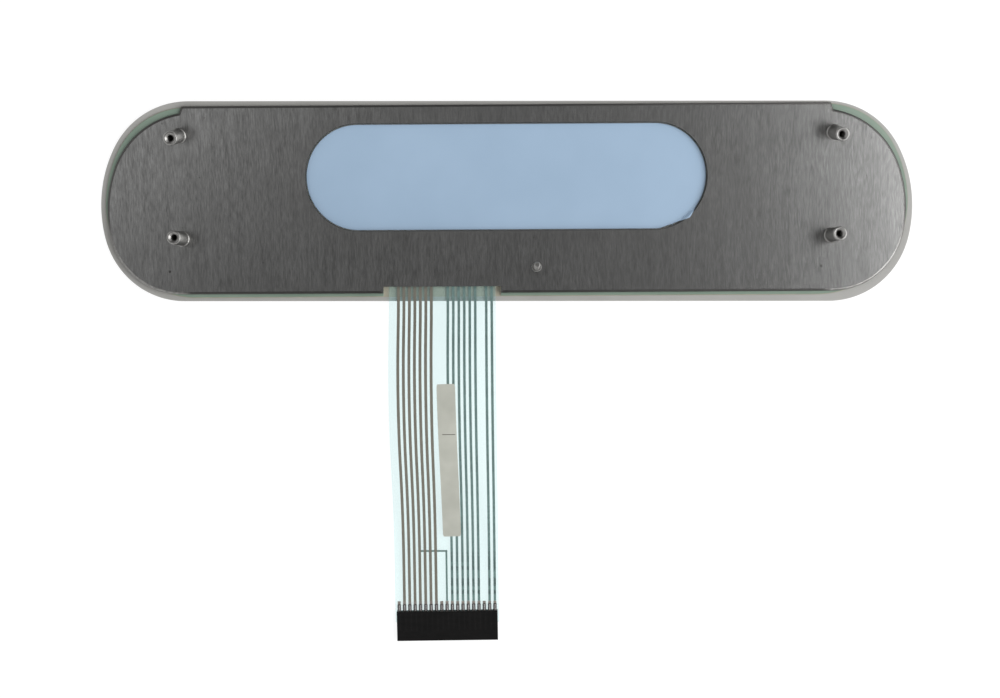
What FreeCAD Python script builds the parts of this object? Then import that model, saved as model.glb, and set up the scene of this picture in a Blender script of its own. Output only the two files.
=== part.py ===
import FreeCAD
import Part
import math
import os
import Sketcher

from FreeCAD import Placement, Rotation, Vector

# Membrane keypad, seen from its rear: a curved graphic overlay, the switch
# layers behind it, a metal backing plate with four standoffs and a ground
# stud, and a film tail that ends in a row of crimped contacts.
#
# Frame, in millimetres: X runs along the keypad, Y across it with the tail
# towards -Y, and Z up out of the rear. Z = 0 is the surface under the front.
# The keypad is bent about an axis along X, so every layer is a piece of a
# cylinder wall.

os.makedirs("parts", exist_ok=True)
doc = FreeCAD.newDocument("MembraneKeypad")

SIZES = (
    ("bend_radius", 255.0),
    ("emboss_height", 0.35),
    ("overlay_length", 376.0),
    ("overlay_height", 91.6),
    ("overlay_end_bulge", 11.7),
    ("overlay_top_level", 5.4),
    ("overlay_bottom_level", 7.6),
    ("overlay_end_drop", 3.0),
    ("overlay_drop", 1.2),
    ("overlay_skew", 0.3),
    ("overlay_thickness", 0.25),
    ("front_adhesive_thickness", 0.13),
    ("front_adhesive_border", 0.35),
    ("retainer_thickness", 0.1),
    ("spacer_thickness", 0.45),
    ("circuit_inset", 2.05),
    ("circuit_top_inset", 2.7),
    ("circuit_end_inset", 2.4),
    ("circuit_bottom_level", 1.75),
    ("circuit_drop", 0.7),
    ("circuit_thickness", 0.18),
    ("rear_adhesive_thickness", 0.13),
    ("plate_border", 2.8),
    ("plate_end_border", 3.4),
    ("plate_thickness", 1.6),
    ("plate_end_bulge", 11.5),
    ("plate_end_drop", 5.5),
    ("plate_top_level", 2.5),
    ("plate_bottom_level", 9.2),
    ("plate_step", 2.7),
    ("plate_step_slope", 1.6),
    ("plate_step_inset", 36.5),
    ("plate_edge_radius", 1.1),
    ("notch_side_gap", 2.5),
    ("notch_depth", 3.0),
    ("window_length", 185.2),
    ("window_height", 48.9),
    ("window_margin", 8.4),
    ("window_gap", 0.35),
    ("mask_thickness", 0.08),
    ("key_length", 24.0),
    ("key_height", 13.0),
    ("key_wall", 0.5),
    ("side_key_inset", 28.0),
    ("side_key_spacing", 38.0),
    ("side_key_row_spacing", 23.0),
    ("side_key_drop", 2.0),
    ("lower_key_spacing", 30.0),
    ("lower_key_margin", 13.5),
    ("dome_diameter", 10.0),
    ("dome_height", 0.35),
    ("dome_sheet", 0.08),
    ("dome_clearance", 1.0),
    ("standoff_spacing", 300.4),
    ("standoff_row_spacing", 47.05),
    ("standoff_margin", 13.4),
    ("standoff_height", 15.9),
    ("standoff_diameter", 6.35),
    ("standoff_flange", 7.2),
    ("standoff_flange_height", 0.7),
    ("standoff_chamfer", 0.35),
    ("standoff_bore", 2.8),
    ("standoff_bore_depth", 11.0),
    ("standoff_countersink", 4.6),
    ("standoff_countersink_depth", 0.9),
    ("drill_cone", 0.8),
    ("stud_offset", 13.9),
    ("stud_margin", 11.7),
    ("stud_height", 12.7),
    ("stud_diameter", 2.9),
    ("stud_flange", 4.5),
    ("stud_flange_height", 0.8),
    ("stud_chamfer", 0.45),
    ("tail_offset", 29.9),
    ("tail_slant", 0.6),
    ("tail_edge", 1.84),
    ("tail_root", 1.0),
    ("tail_root_radius", 50.0),
    ("tail_climb_angle", 24.0),
    ("tail_climb_length", 8.0),
    ("tail_crest_near_radius", 65.0),
    ("tail_crest_length", 1.0),
    ("tail_crest_far_radius", 80.0),
    ("tail_fall_angle", 21.0),
    ("tail_foot_radius", 110.0),
    ("tail_reach", 155.5),
    ("contact_pitch", 2.54),
    ("contact_width", 1.5),
    ("contact_sheet", 0.25),
    ("crimp_length", 3.3),
    ("tang_width", 0.6),
    ("tang_length", 1.6),
    ("tang_gap", 0.1),
    ("socket_side", 1.9),
    ("socket_opening", 1.3),
    ("socket_length", 6.4),
    ("socket_gap", 0.06),
    ("film_depth", 5.6),
    ("neck_length", 0.8),
    ("housing_side_wall", 0.2),
    ("housing_length", 14.2),
    ("housing_height", 2.8),
    ("housing_front_wall", 0.8),
    ("housing_skew", 0.5),
    ("film_slot_gap", 0.1),
    ("film_end_gap", 0.4),
    ("label_width", 8.5),
    ("label_length", 74.9),
    ("label_thickness", 0.1),
    ("label_setback", 75.4),
    ("label_offset", 2.5),
    ("label_skew", 1.2),
    ("prism_height", 80.0),
    ("overrun", 10.0),
    ("overlap", 1.0),
)

CONTACT_COUNT = 19
LOWER_KEY_COUNT = 6

# Values that follow from the driving sizes. Depths are measured from the
# plain front face towards the rear, and each layer starts where the one in
# front of it ends.
DERIVED = (
    ("axis_level", "=Sizes.bend_radius + Sizes.emboss_height"),
    ("front_adhesive_depth", "=Sizes.overlay_thickness"),
    ("retainer_depth", "=front_adhesive_depth + Sizes.front_adhesive_thickness"),
    ("spacer_depth", "=retainer_depth + Sizes.retainer_thickness"),
    ("circuit_depth", "=spacer_depth + Sizes.spacer_thickness"),
    ("rear_adhesive_depth", "=circuit_depth + Sizes.circuit_thickness"),
    ("plate_depth", "=rear_adhesive_depth + Sizes.rear_adhesive_thickness"),
    ("plate_rear_depth", "=plate_depth + Sizes.plate_thickness"),
    ("plate_rear_radius", "=Sizes.bend_radius - plate_rear_depth"),
    ("shell_length", "=Sizes.overlay_length + 2 * Sizes.overrun"),
    ("overlay_half", "=Sizes.overlay_length / 2"),
    ("overlay_end", "=Sizes.overlay_height / 2 + Sizes.overlay_end_bulge"),
    ("overlay_level", "=-Sizes.overlay_end_drop"),
    ("overlay_top", "=Sizes.overlay_height / 2"),
    ("overlay_top_corner", "=overlay_top - Sizes.overlay_top_level"),
    ("overlay_bottom", "=-overlay_top"),
    ("overlay_bottom_corner", "=overlay_top - Sizes.overlay_bottom_level"),
    ("circuit_half", "=overlay_half - Sizes.circuit_end_inset"),
    ("circuit_end", "=overlay_end - Sizes.circuit_end_inset"),
    ("circuit_level", "=overlay_level"),
    ("circuit_top", "=overlay_top - Sizes.circuit_top_inset"),
    ("circuit_top_corner", "=overlay_top_corner - Sizes.circuit_top_inset"),
    ("circuit_bottom", "=overlay_bottom + Sizes.circuit_inset"),
    ("circuit_bottom_corner", "=-circuit_bottom - Sizes.circuit_bottom_level"),
    ("border_half", "=circuit_half + Sizes.front_adhesive_border"),
    ("border_end", "=circuit_end + Sizes.front_adhesive_border"),
    ("border_level", "=circuit_level"),
    ("border_top", "=circuit_top + Sizes.front_adhesive_border"),
    ("border_top_corner", "=circuit_top_corner + Sizes.front_adhesive_border"),
    ("border_bottom", "=circuit_bottom - Sizes.front_adhesive_border"),
    ("border_bottom_corner", "=circuit_bottom_corner + Sizes.front_adhesive_border"),
    ("plate_edge", "=overlay_top - Sizes.plate_border"),
    ("plate_half", "=overlay_half - Sizes.plate_end_border"),
    ("plate_end", "=plate_edge + Sizes.plate_end_bulge"),
    ("plate_level", "=-Sizes.plate_end_drop"),
    ("plate_top", "=plate_edge - Sizes.plate_step"),
    ("plate_top_corner", "=plate_edge - Sizes.plate_top_level"),
    ("plate_bottom", "=-plate_edge"),
    ("plate_bottom_corner", "=plate_edge - Sizes.plate_bottom_level"),
    ("plate_step_half", "=plate_half - Sizes.plate_step_inset"),
    ("window_level", "=plate_edge - Sizes.window_margin - Sizes.window_height / 2"),
    ("lens_length", "=Sizes.window_length - 2 * Sizes.window_gap"),
    ("lens_height", "=Sizes.window_height - 2 * Sizes.window_gap"),
    ("dome_curve", "=(Sizes.dome_diameter ^ 2 / 4 + Sizes.dome_height ^ 2) / (2 * Sizes.dome_height)"),
    ("tail_start", "=-circuit_bottom + Sizes.circuit_drop + Sizes.tail_root"),
    ("tail_end", "=tail_start + Sizes.tail_reach"),
    ("tail_path_level", "=Sizes.housing_height / 2 - Sizes.circuit_thickness / 2"),
    ("circuit_radius", "=Sizes.bend_radius - circuit_depth"),
    ("contact_row", "=%d * Sizes.contact_pitch" % (CONTACT_COUNT - 1)),
    ("tail_width", "=contact_row + 2 * Sizes.tail_edge"),
    ("notch_width", "=tail_width + 2 * Sizes.notch_side_gap"),
    ("connector_x", "=-Sizes.tail_offset + Sizes.tail_slant"),
    ("connector_y", "=-tail_end + Sizes.film_depth"),
    ("connector_z", "=Sizes.housing_height / 2"),
    ("cavity_side", "=Sizes.socket_side + 2 * Sizes.socket_gap"),
    ("housing_width", "=contact_row + cavity_side + 2 * Sizes.housing_side_wall"),
    ("slot_height", "=Sizes.circuit_thickness + 2 * Sizes.contact_sheet + 2 * Sizes.film_slot_gap"),
    ("label_y", "=-tail_start - Sizes.label_setback"),
    ("label_x", "=-Sizes.tail_offset + Sizes.label_offset"),
)


def fill_sheet(name, rows):
    """Make a sheet with one named value in each row."""
    sheet = doc.addObject("Spreadsheet::Sheet", name)
    for number, (alias, content) in enumerate(rows, start=1):
        sheet.set("A%d" % number, alias)
        sheet.set("B%d" % number, str(content))
        sheet.setAlias("B%d" % number, alias)
    return sheet


sizes = fill_sheet("Sizes", SIZES)
derived = fill_sheet("Derived", DERIVED)
doc.recompute()
nodes = []


def register(name, item):
    """Name the object that is one physical piece of the keypad."""
    item.Label = name
    nodes.append((name, item))
    return item


def bind(item, **formulas):
    """Bind properties of an object to the sheets."""
    for name, formula in formulas.items():
        item.setExpression(name, formula)
    return item


def move_to(item, x="0", y="0", z="0"):
    """Bind the place of an object to the sheets."""
    item.setExpression("Placement.Base.x", x)
    item.setExpression("Placement.Base.y", y)
    item.setExpression("Placement.Base.z", z)
    return item


def turn(item, axis, angle):
    """Turn an object about an axis by an angle bound to the sheets."""
    item.Placement = Placement(item.Placement.Base, Rotation(axis, 1.0))
    item.setExpression("Placement.Rotation.Angle", angle)
    return item


def box(name, lengths, corner):
    """A block with its lowest corner at a given place."""
    item = doc.addObject("Part::Box", name)
    bind(item, Length=lengths[0], Width=lengths[1], Height=lengths[2])
    return move_to(item, *corner)


def post(name, radius, x, y):
    """An upright cylinder that passes through all the layers."""
    item = doc.addObject("Part::Cylinder", name)
    bind(item, Radius=radius, Height="Sizes.prism_height")
    return move_to(item, x, y, "-Sizes.prism_height / 2")


def fuse(name, items):
    """Join several objects into one."""
    item = doc.addObject("Part::MultiFuse", name)
    item.Shapes = items
    item.Refine = True
    return item


def cut(name, base, tool):
    """Take one object away from another."""
    item = doc.addObject("Part::Cut", name)
    item.Base = base
    item.Tool = tool
    return item


def common(name, base, tool):
    """Keep what two objects share."""
    item = doc.addObject("Part::Common", name)
    item.Base = base
    item.Tool = tool
    return item


def bent_wall(name, front_depth, rear_depth):
    """A full cylinder wall about the bend axis, between two depths."""
    walls = []
    for side, depth in (("Outer", front_depth), ("Inner", rear_depth)):
        item = doc.addObject("Part::Cylinder", name + side)
        bind(item, Radius="Sizes.bend_radius - (%s)" % depth, Height="Derived.shell_length")
        item.Placement = Placement(Vector(), Rotation(Vector(0, 1, 0), 90))
        move_to(item, "-Derived.shell_length / 2", "0", "Derived.axis_level")
        walls.append(item)
    return cut(name, walls[0], walls[1])


def extrude(name, sketch, direction, length):
    """Extrude a sketch both ways from its plane."""
    item = doc.addObject("Part::Extrusion", name)
    item.Base = sketch
    item.DirMode = "Custom"
    item.Dir = direction
    item.Solid = True
    item.Symmetric = True
    return bind(item, LengthFwd=length)


def pin_point(sketch, geometry, point, x, y):
    """Fix a point of a sketch at formulas for its two coordinates."""
    for kind, axis, formula in (("DistanceX", -2, x), ("DistanceY", -1, y)):
        if formula == "0":
            sketch.addConstraint(Sketcher.Constraint("PointOnObject", geometry, point, axis))
        else:
            index = sketch.addConstraint(Sketcher.Constraint(kind, -1, 1, geometry, point, 1.0))
            sketch.setExpression("Constraints[%d]" % index, formula)


def polygon(sketch, corners):
    """A closed outline of straight edges through named corners."""
    count = len(corners)
    ring = [Vector(math.cos(2 * math.pi * i / count), math.sin(2 * math.pi * i / count), 0)
            for i in range(count)]
    for i in range(count):
        sketch.addGeometry(Part.LineSegment(ring[i], ring[(i + 1) % count]), False)
    for i in range(count):
        sketch.addConstraint(Sketcher.Constraint("Coincident", i, 2, (i + 1) % count, 1))
    for i, (x, y) in enumerate(corners):
        pin_point(sketch, i, 1, x, y)


def rectangle(half_width, half_height, middle="0"):
    """The corners of a rectangle about a point of its sketch's first axis."""
    right = "%s + %s" % (middle, half_width)
    left = "%s - %s" % (middle, half_width)
    return ((right, half_height), (left, half_height),
            (left, "-" + half_height), (right, "-" + half_height))


def dimension(sketch, kind, formula, *where):
    """Add one dimension bound to the sheets; it starts at its measured value."""
    index = sketch.addConstraint(Sketcher.Constraint(kind, *where))
    sketch.setExpression("Constraints[%d]" % index, formula)


def arc(sketch, centre, radius, start, end):
    """Add an arc given in degrees and return its index."""
    circle = Part.Circle(centre, Vector(0, 0, 1), radius)
    return sketch.addGeometry(Part.ArcOfCircle(circle, math.radians(start), math.radians(end)), False)


def line(sketch, start, end):
    """Add a straight edge and return its index."""
    return sketch.addGeometry(Part.LineSegment(start, end), False)


def value(name):
    """Read a value from either sheet."""
    owner = sizes if name in dict(SIZES) else derived
    return float(owner.get(name))


def long_outline(name):
    """Two straight edges joined by three-centre ends, from the cells NAME_half,
    NAME_end, NAME_level, NAME_top, NAME_bottom and the two corner radii."""
    sketch = doc.addObject("Sketcher::SketchObject", name + "Outline")
    half = value(name + "_half")
    end_radius = value(name + "_end")
    end_centre = Vector(half - end_radius, value(name + "_level"), 0)
    corners = {}
    for edge, sign in (("top", 1), ("bottom", -1)):
        radius = value("%s_%s_corner" % (name, edge))
        level = value("%s_%s" % (name, edge)) - sign * radius
        reach = math.sqrt((end_radius - radius) ** 2 - (level - end_centre.y) ** 2)
        centre = Vector(end_centre.x + reach, level, 0)
        angle = math.degrees(math.atan2(level - end_centre.y, reach))
        corners[edge] = (centre, radius, angle)

    def mirrored(point):
        return Vector(-point.x, point.y, 0)

    top, top_radius, top_angle = corners["top"]
    bottom, bottom_radius, bottom_angle = corners["bottom"]
    right = arc(sketch, end_centre, end_radius, bottom_angle, top_angle)
    top_right = arc(sketch, top, top_radius, top_angle, 90)
    top_edge = line(sketch, top + Vector(0, top_radius, 0), mirrored(top) + Vector(0, top_radius, 0))
    top_left = arc(sketch, mirrored(top), top_radius, 90, 180 - top_angle)
    left = arc(sketch, mirrored(end_centre), end_radius, 180 - top_angle, 180 - bottom_angle)
    bottom_left = arc(sketch, mirrored(bottom), bottom_radius, 180 - bottom_angle, 270)
    bottom_edge = line(sketch, mirrored(bottom) - Vector(0, bottom_radius, 0),
                       bottom - Vector(0, bottom_radius, 0))
    bottom_right = arc(sketch, bottom, bottom_radius, 270, 360 + bottom_angle)
    chain = (right, top_right, top_edge, top_left, left, bottom_left, bottom_edge, bottom_right)
    for first, second in zip(chain, chain[1:] + chain[:1]):
        sketch.addConstraint(Sketcher.Constraint("Tangent", first, 2, second, 1))
    for edge in (top_edge, bottom_edge):
        sketch.addConstraint(Sketcher.Constraint("Horizontal", edge))
    cells = "Derived." + name
    for item, sign, centre_x in ((right, "", end_centre.x), (left, "-", -end_centre.x)):
        place = "%s(%s_half - %s_end)" % (sign, cells, cells)
        dimension(sketch, "DistanceX", place, -1, 1, item, 3, centre_x)
        dimension(sketch, "DistanceY", cells + "_level", -1, 1, item, 3, end_centre.y)
        dimension(sketch, "Radius", cells + "_end", item, end_radius)
    for items, radius, edge in (((top_right, top_left), top_radius, "top"),
                                ((bottom_left, bottom_right), bottom_radius, "bottom")):
        for item in items:
            dimension(sketch, "Radius", "%s_%s_corner" % (cells, edge), item, radius)
    dimension(sketch, "DistanceY", cells + "_top", -1, 1, top_edge, 1, top.y + top_radius)
    dimension(sketch, "DistanceY", cells + "_bottom", -1, 1, bottom_edge, 1, bottom.y - bottom_radius)
    return sketch


def round_ended(name, length, height, x, y):
    """An upright prism with half-round ends, centred at a place."""
    middle = box(name + "Middle", ("%s - (%s)" % (length, height), height, "Sizes.prism_height"),
                 ("%s - (%s - (%s)) / 2" % (x, length, height), "%s - (%s) / 2" % (y, height),
                  "-Sizes.prism_height / 2"))
    ends = [post(name + side, "(%s) / 2" % height, "%s %s (%s - (%s)) / 2" % (x, sign, length, height), y)
            for side, sign in (("Left", "-"), ("Right", "+"))]
    return fuse(name, [middle] + ends)


def seat_on_curve(item, x, y, distance, facing=""):
    """Stand an object on a bent layer at a distance from the bend axis, along
    the local normal. The facing term turns it over for the front."""
    root = "sqrt((%s) ^ 2 - (%s) ^ 2)" % (distance, y)
    move_to(item, x, y, "Derived.axis_level - " + root)
    return turn(item, Vector(1, 0, 0), "asin((%s) / (%s))%s" % (y, distance, facing))


# Outlines in plan and the prisms that trim the bent layers
overlay_outline = long_outline("overlay")
move_to(overlay_outline, y="-Sizes.overlay_drop")
turn(overlay_outline, Vector(0, 0, -1), "Sizes.overlay_skew")
circuit_outline = move_to(long_outline("circuit"), y="-Sizes.circuit_drop")
border_outline = move_to(long_outline("border"), y="-Sizes.circuit_drop")
plate_outline = long_outline("plate")
UP = Vector(0, 0, 1)
overlay_prism = extrude("OverlayPrism", overlay_outline, UP, "Sizes.prism_height")
circuit_prism = extrude("CircuitPrism", circuit_outline, UP, "Sizes.prism_height")
border_prism = extrude("BorderPrism", border_outline, UP, "Sizes.prism_height")
plate_ends_prism = extrude("PlateEndsPrism", plate_outline, UP, "Sizes.prism_height")

# The plate is cut from strip: its long top edge stands above the punched
# ends, with a short sloping step at each side
strip_sketch = doc.addObject("Sketcher::SketchObject", "StripOutline")
polygon(strip_sketch, (
    ("Derived.plate_step_half", "Derived.plate_edge"),
    ("-Derived.plate_step_half", "Derived.plate_edge"),
    ("-Derived.plate_step_half - Sizes.plate_step_slope", "Derived.plate_top - Sizes.overlap"),
    ("Derived.plate_step_half + Sizes.plate_step_slope", "Derived.plate_top - Sizes.overlap"),
))
strip_prism = extrude("StripPrism", strip_sketch, UP, "Sizes.prism_height")
plate_prism = fuse("PlatePrism", [plate_ends_prism, strip_prism])

WINDOW_PLACE = ("0", "Derived.window_level")
window_prism = round_ended("WindowPrism", "Sizes.window_length", "Sizes.window_height", *WINDOW_PLACE)
lens_prism = round_ended("LensPrism", "Derived.lens_length", "Derived.lens_height", *WINDOW_PLACE)
notch_prism = box(
    "NotchPrism",
    ("Derived.notch_width", "Sizes.notch_depth + Sizes.overrun", "Sizes.prism_height"),
    ("-Sizes.tail_offset - Derived.notch_width / 2", "-Derived.plate_edge - Sizes.overrun",
     "-Sizes.prism_height / 2"))

# Places of the keys: a block of keys at each end and a row under the window
key_places = []
for side in ("-", ""):
    for column in range(2):
        for row in (1, 0, -1):
            reach = "Derived.overlay_half - Sizes.side_key_inset - %d * Sizes.side_key_spacing" % column
            level = "%d * Sizes.side_key_row_spacing - Sizes.side_key_drop" % row
            key_places.append(("%s(%s)" % (side, reach), level))
for position in range(LOWER_KEY_COUNT):
    key_places.append(("%g * Sizes.lower_key_spacing" % (position - (LOWER_KEY_COUNT - 1) / 2),
                       "-Derived.plate_edge + Sizes.lower_key_margin"))


def make_graphic_overlay():
    """The front skin, with each key pushed out from behind as a low pillow."""
    wall = bent_wall("OverlayWall", "0", "Sizes.overlay_thickness")
    blank = common("OverlayBlank", overlay_prism, wall)
    pillows = fuse("KeyPillows", [
        round_ended("KeyPillow%d" % i, "Sizes.key_length", "Sizes.key_height", *place)
        for i, place in enumerate(key_places)])
    hollows = fuse("KeyHollows", [
        round_ended("KeyHollow%d" % i, "(Sizes.key_length - 2 * Sizes.key_wall)",
                    "(Sizes.key_height - 2 * Sizes.key_wall)", *place)
        for i, place in enumerate(key_places)])
    pillow_wall = bent_wall("PillowWall", "-Sizes.emboss_height", "Sizes.overlay_thickness")
    hollow_wall = bent_wall("HollowWall", "Sizes.overlay_thickness - Sizes.emboss_height",
                            "Sizes.overlay_thickness")
    skin = fuse("OverlaySkin", [blank, common("RaisedKeys", pillows, pillow_wall)])
    overlay = cut("GraphicOverlay", skin, common("KeyRecesses", hollows, hollow_wall))
    register("graphic_overlay", overlay)
    return pillows


def make_switch_layers(key_openings):
    """The flat layers between the overlay and the plate."""
    wells = fuse("DomeWells", [
        post("DomeWell%d" % i, "Sizes.dome_diameter / 2 + Sizes.dome_clearance", *place)
        for i, place in enumerate(key_places)])
    layers = (
        ("overlay_adhesive", border_prism, "front_adhesive_depth", "retainer_depth",
         [window_prism, key_openings]),
        ("dome_retainer", circuit_prism, "retainer_depth", "spacer_depth", [window_prism, notch_prism]),
        ("dome_spacer", circuit_prism, "spacer_depth", "circuit_depth",
         [window_prism, notch_prism, wells]),
        ("rear_adhesive", plate_prism, "rear_adhesive_depth", "plate_depth", [window_prism, notch_prism]),
    )
    for name, prism, front, rear, openings in layers:
        wall = bent_wall(name + "_wall", "Derived." + front, "Derived." + rear)
        piece = common(name + "_sheet", prism, wall)
        for opening in openings:
            piece = cut(name + "_cut", piece, opening)
        register(name, piece)


def make_window_layers():
    """The clear lens in the window and the peelable mask on its rear."""
    wall = bent_wall("LensWall", "Sizes.overlay_thickness", "Derived.rear_adhesive_depth")
    register("display_lens", common("DisplayLens", lens_prism, wall))
    mask_wall = bent_wall("MaskWall", "Derived.rear_adhesive_depth",
                          "Derived.rear_adhesive_depth + Sizes.mask_thickness")
    register("protective_film", common("ProtectiveFilm", lens_prism, mask_wall))


def make_backing_plate():
    """The bent metal plate, with the rear edge of its outline rounded over."""
    wall = bent_wall("PlateWall", "Derived.plate_depth", "Derived.plate_rear_depth")
    sheet = common("PlateSheet", plate_prism, wall)
    pierced = cut("PiercedPlate", sheet, fuse("PlateOpenings", [window_prism, notch_prism]))
    body = doc.addObject("PartDesign::Body", "BackingPlate")
    body.BaseFeature = pierced
    doc.recompute()
    rear_radius = value("plate_rear_radius")
    axis_level = value("axis_level")
    notch_level = -value("plate_edge") + value("notch_depth") + 0.5

    def on_rear_face(point):
        return abs(math.hypot(point.y, axis_level - point.z) - rear_radius) < 0.02

    def in_window(point):
        return (abs(point.x) < value("window_length") / 2 + 1
                and abs(point.y - value("window_level")) < value("window_height") / 2 + 1)

    def in_notch(point):
        across = abs(point.x + value("tail_offset"))
        return across < value("notch_width") / 2 + 0.5 and point.y < notch_level

    names = []
    for index, edge in enumerate(body.Shape.Edges, start=1):
        samples = [edge.valueAt(edge.FirstParameter + part * (edge.LastParameter - edge.FirstParameter))
                   for part in (0.1, 0.5, 0.9)]
        if (all(on_rear_face(point) for point in samples)
                and not in_window(samples[1]) and not in_notch(samples[1])):
            names.append("Edge%d" % index)
    blank = body.Tip
    rounding = body.newObject("PartDesign::Fillet", "EdgeRounding")
    rounding.Base = (blank, names)
    bind(rounding, Radius="Sizes.plate_edge_radius")
    register("backing_plate", body)


def new_body(name):
    """A body with an empty sketch on one of its own upright planes."""
    body = doc.addObject("PartDesign::Body", name)
    return body


def sketch_on(body, name, role):
    """A sketch on one of the body's origin planes."""
    sketch = body.newObject("Sketcher::SketchObject", name)
    plane = [item for item in body.Origin.OriginFeatures if item.Role == role][0]
    sketch.AttachmentSupport = [(plane, "")]
    sketch.MapMode = "FlatFace"
    return sketch


def turned_body(name, corners):
    """A body turned about its own Z axis from half of its section."""
    body = new_body(name)
    sketch = sketch_on(body, name + "Section", "XZ_Plane")
    polygon(sketch, corners)
    turned = body.newObject("PartDesign::Revolution", name + "Turned")
    turned.Profile = sketch
    turned.ReferenceAxis = (sketch, ["V_Axis"])
    turned.Angle = 360.0
    return body


def make_standoffs():
    """Four round standoffs with a tapped blind bore, standing square to the
    bent plate on small weld flanges."""
    section = (
        ("0", "0"),
        ("Sizes.standoff_flange / 2", "0"),
        ("Sizes.standoff_flange / 2", "Sizes.standoff_flange_height - Sizes.standoff_chamfer"),
        ("Sizes.standoff_diameter / 2", "Sizes.standoff_flange_height"),
        ("Sizes.standoff_diameter / 2", "Sizes.standoff_height - Sizes.standoff_chamfer"),
        ("Sizes.standoff_diameter / 2 - Sizes.standoff_chamfer", "Sizes.standoff_height"),
        ("Sizes.standoff_countersink / 2", "Sizes.standoff_height"),
        ("Sizes.standoff_bore / 2", "Sizes.standoff_height - Sizes.standoff_countersink_depth"),
        ("Sizes.standoff_bore / 2", "Sizes.standoff_height - Sizes.standoff_bore_depth"),
        ("0", "Sizes.standoff_height - Sizes.standoff_bore_depth - Sizes.drill_cone"),
    )
    seat = "sqrt(Derived.plate_rear_radius ^ 2 - Sizes.standoff_flange ^ 2 / 4)"
    upper = "Derived.plate_edge - Sizes.standoff_margin"
    places = (
        ("standoff_upper_left", "-Sizes.standoff_spacing / 2", upper),
        ("standoff_upper_right", "Sizes.standoff_spacing / 2", upper),
        ("standoff_lower_left", "-Sizes.standoff_spacing / 2", upper + " - Sizes.standoff_row_spacing"),
        ("standoff_lower_right", "Sizes.standoff_spacing / 2", upper + " - Sizes.standoff_row_spacing"),
    )
    for name, x, y in places:
        body = turned_body(name + "_body", section)
        seat_on_curve(body, x, y, seat)
        register(name, body)


def make_ground_stud():
    """The small weld stud under the window that earths the plate."""
    body = turned_body("GroundStud", (
        ("0", "0"),
        ("Sizes.stud_flange / 2", "0"),
        ("Sizes.stud_flange / 2", "Sizes.stud_flange_height"),
        ("Sizes.stud_diameter / 2", "Sizes.stud_flange_height"),
        ("Sizes.stud_diameter / 2", "Sizes.stud_height - Sizes.stud_chamfer"),
        ("Sizes.stud_diameter / 2 - Sizes.stud_chamfer", "Sizes.stud_height"),
        ("0", "Sizes.stud_height"),
    ))
    seat = "sqrt(Derived.plate_rear_radius ^ 2 - Sizes.stud_flange ^ 2 / 4)"
    seat_on_curve(body, "Sizes.stud_offset", "-Derived.plate_edge + Sizes.stud_margin", seat)
    register("ground_stud", body)


def make_snap_domes():
    """A thin spring dome under each key, with its rim on the circuit."""
    rim = value("dome_diameter") / 2
    curve = value("dome_curve")
    sheet = value("dome_sheet")
    height = value("dome_height")
    centre = Vector(0, height - curve, 0)
    outer_start = math.degrees(math.asin((curve - height) / curve))
    inner_start = math.degrees(math.asin((curve - height) / (curve - sheet)))
    inner_rim = math.sqrt((curve - sheet) ** 2 - (curve - height) ** 2)
    for number, (x, y) in enumerate(key_places, start=1):
        name = "snap_dome_%02d" % number
        body = new_body(name + "_body")
        sketch = sketch_on(body, name + "_section", "XZ_Plane")
        outer = arc(sketch, centre, curve, outer_start, 90)
        inner = arc(sketch, centre, curve - sheet, inner_start, 90)
        middle = line(sketch, Vector(0, height, 0), Vector(0, height - sheet, 0))
        foot = line(sketch, Vector(inner_rim, 0, 0), Vector(rim, 0, 0))
        for joint in ((outer, 2, middle, 1), (middle, 2, inner, 2), (inner, 1, foot, 1),
                      (foot, 2, outer, 1), (outer, 3, inner, 3)):
            sketch.addConstraint(Sketcher.Constraint("Coincident", *joint))
        for point in ((outer, 3, -2), (middle, 1, -2), (middle, 2, -2), (foot, 1, -1), (foot, 2, -1)):
            sketch.addConstraint(Sketcher.Constraint("PointOnObject", *point))
        dimension(sketch, "Radius", "Derived.dome_curve", outer, curve)
        dimension(sketch, "Radius", "Derived.dome_curve - Sizes.dome_sheet", inner, curve - sheet)
        dimension(sketch, "DistanceX", "Sizes.dome_diameter / 2", -1, 1, foot, 2, rim)
        turned = body.newObject("PartDesign::Revolution", name + "_turned")
        turned.Profile = sketch
        turned.ReferenceAxis = (sketch, ["V_Axis"])
        turned.Angle = 360.0
        seat_on_curve(body, x, y, "(Sizes.bend_radius - Derived.circuit_depth)", " + 180 deg")
        register(name, body)


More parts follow.
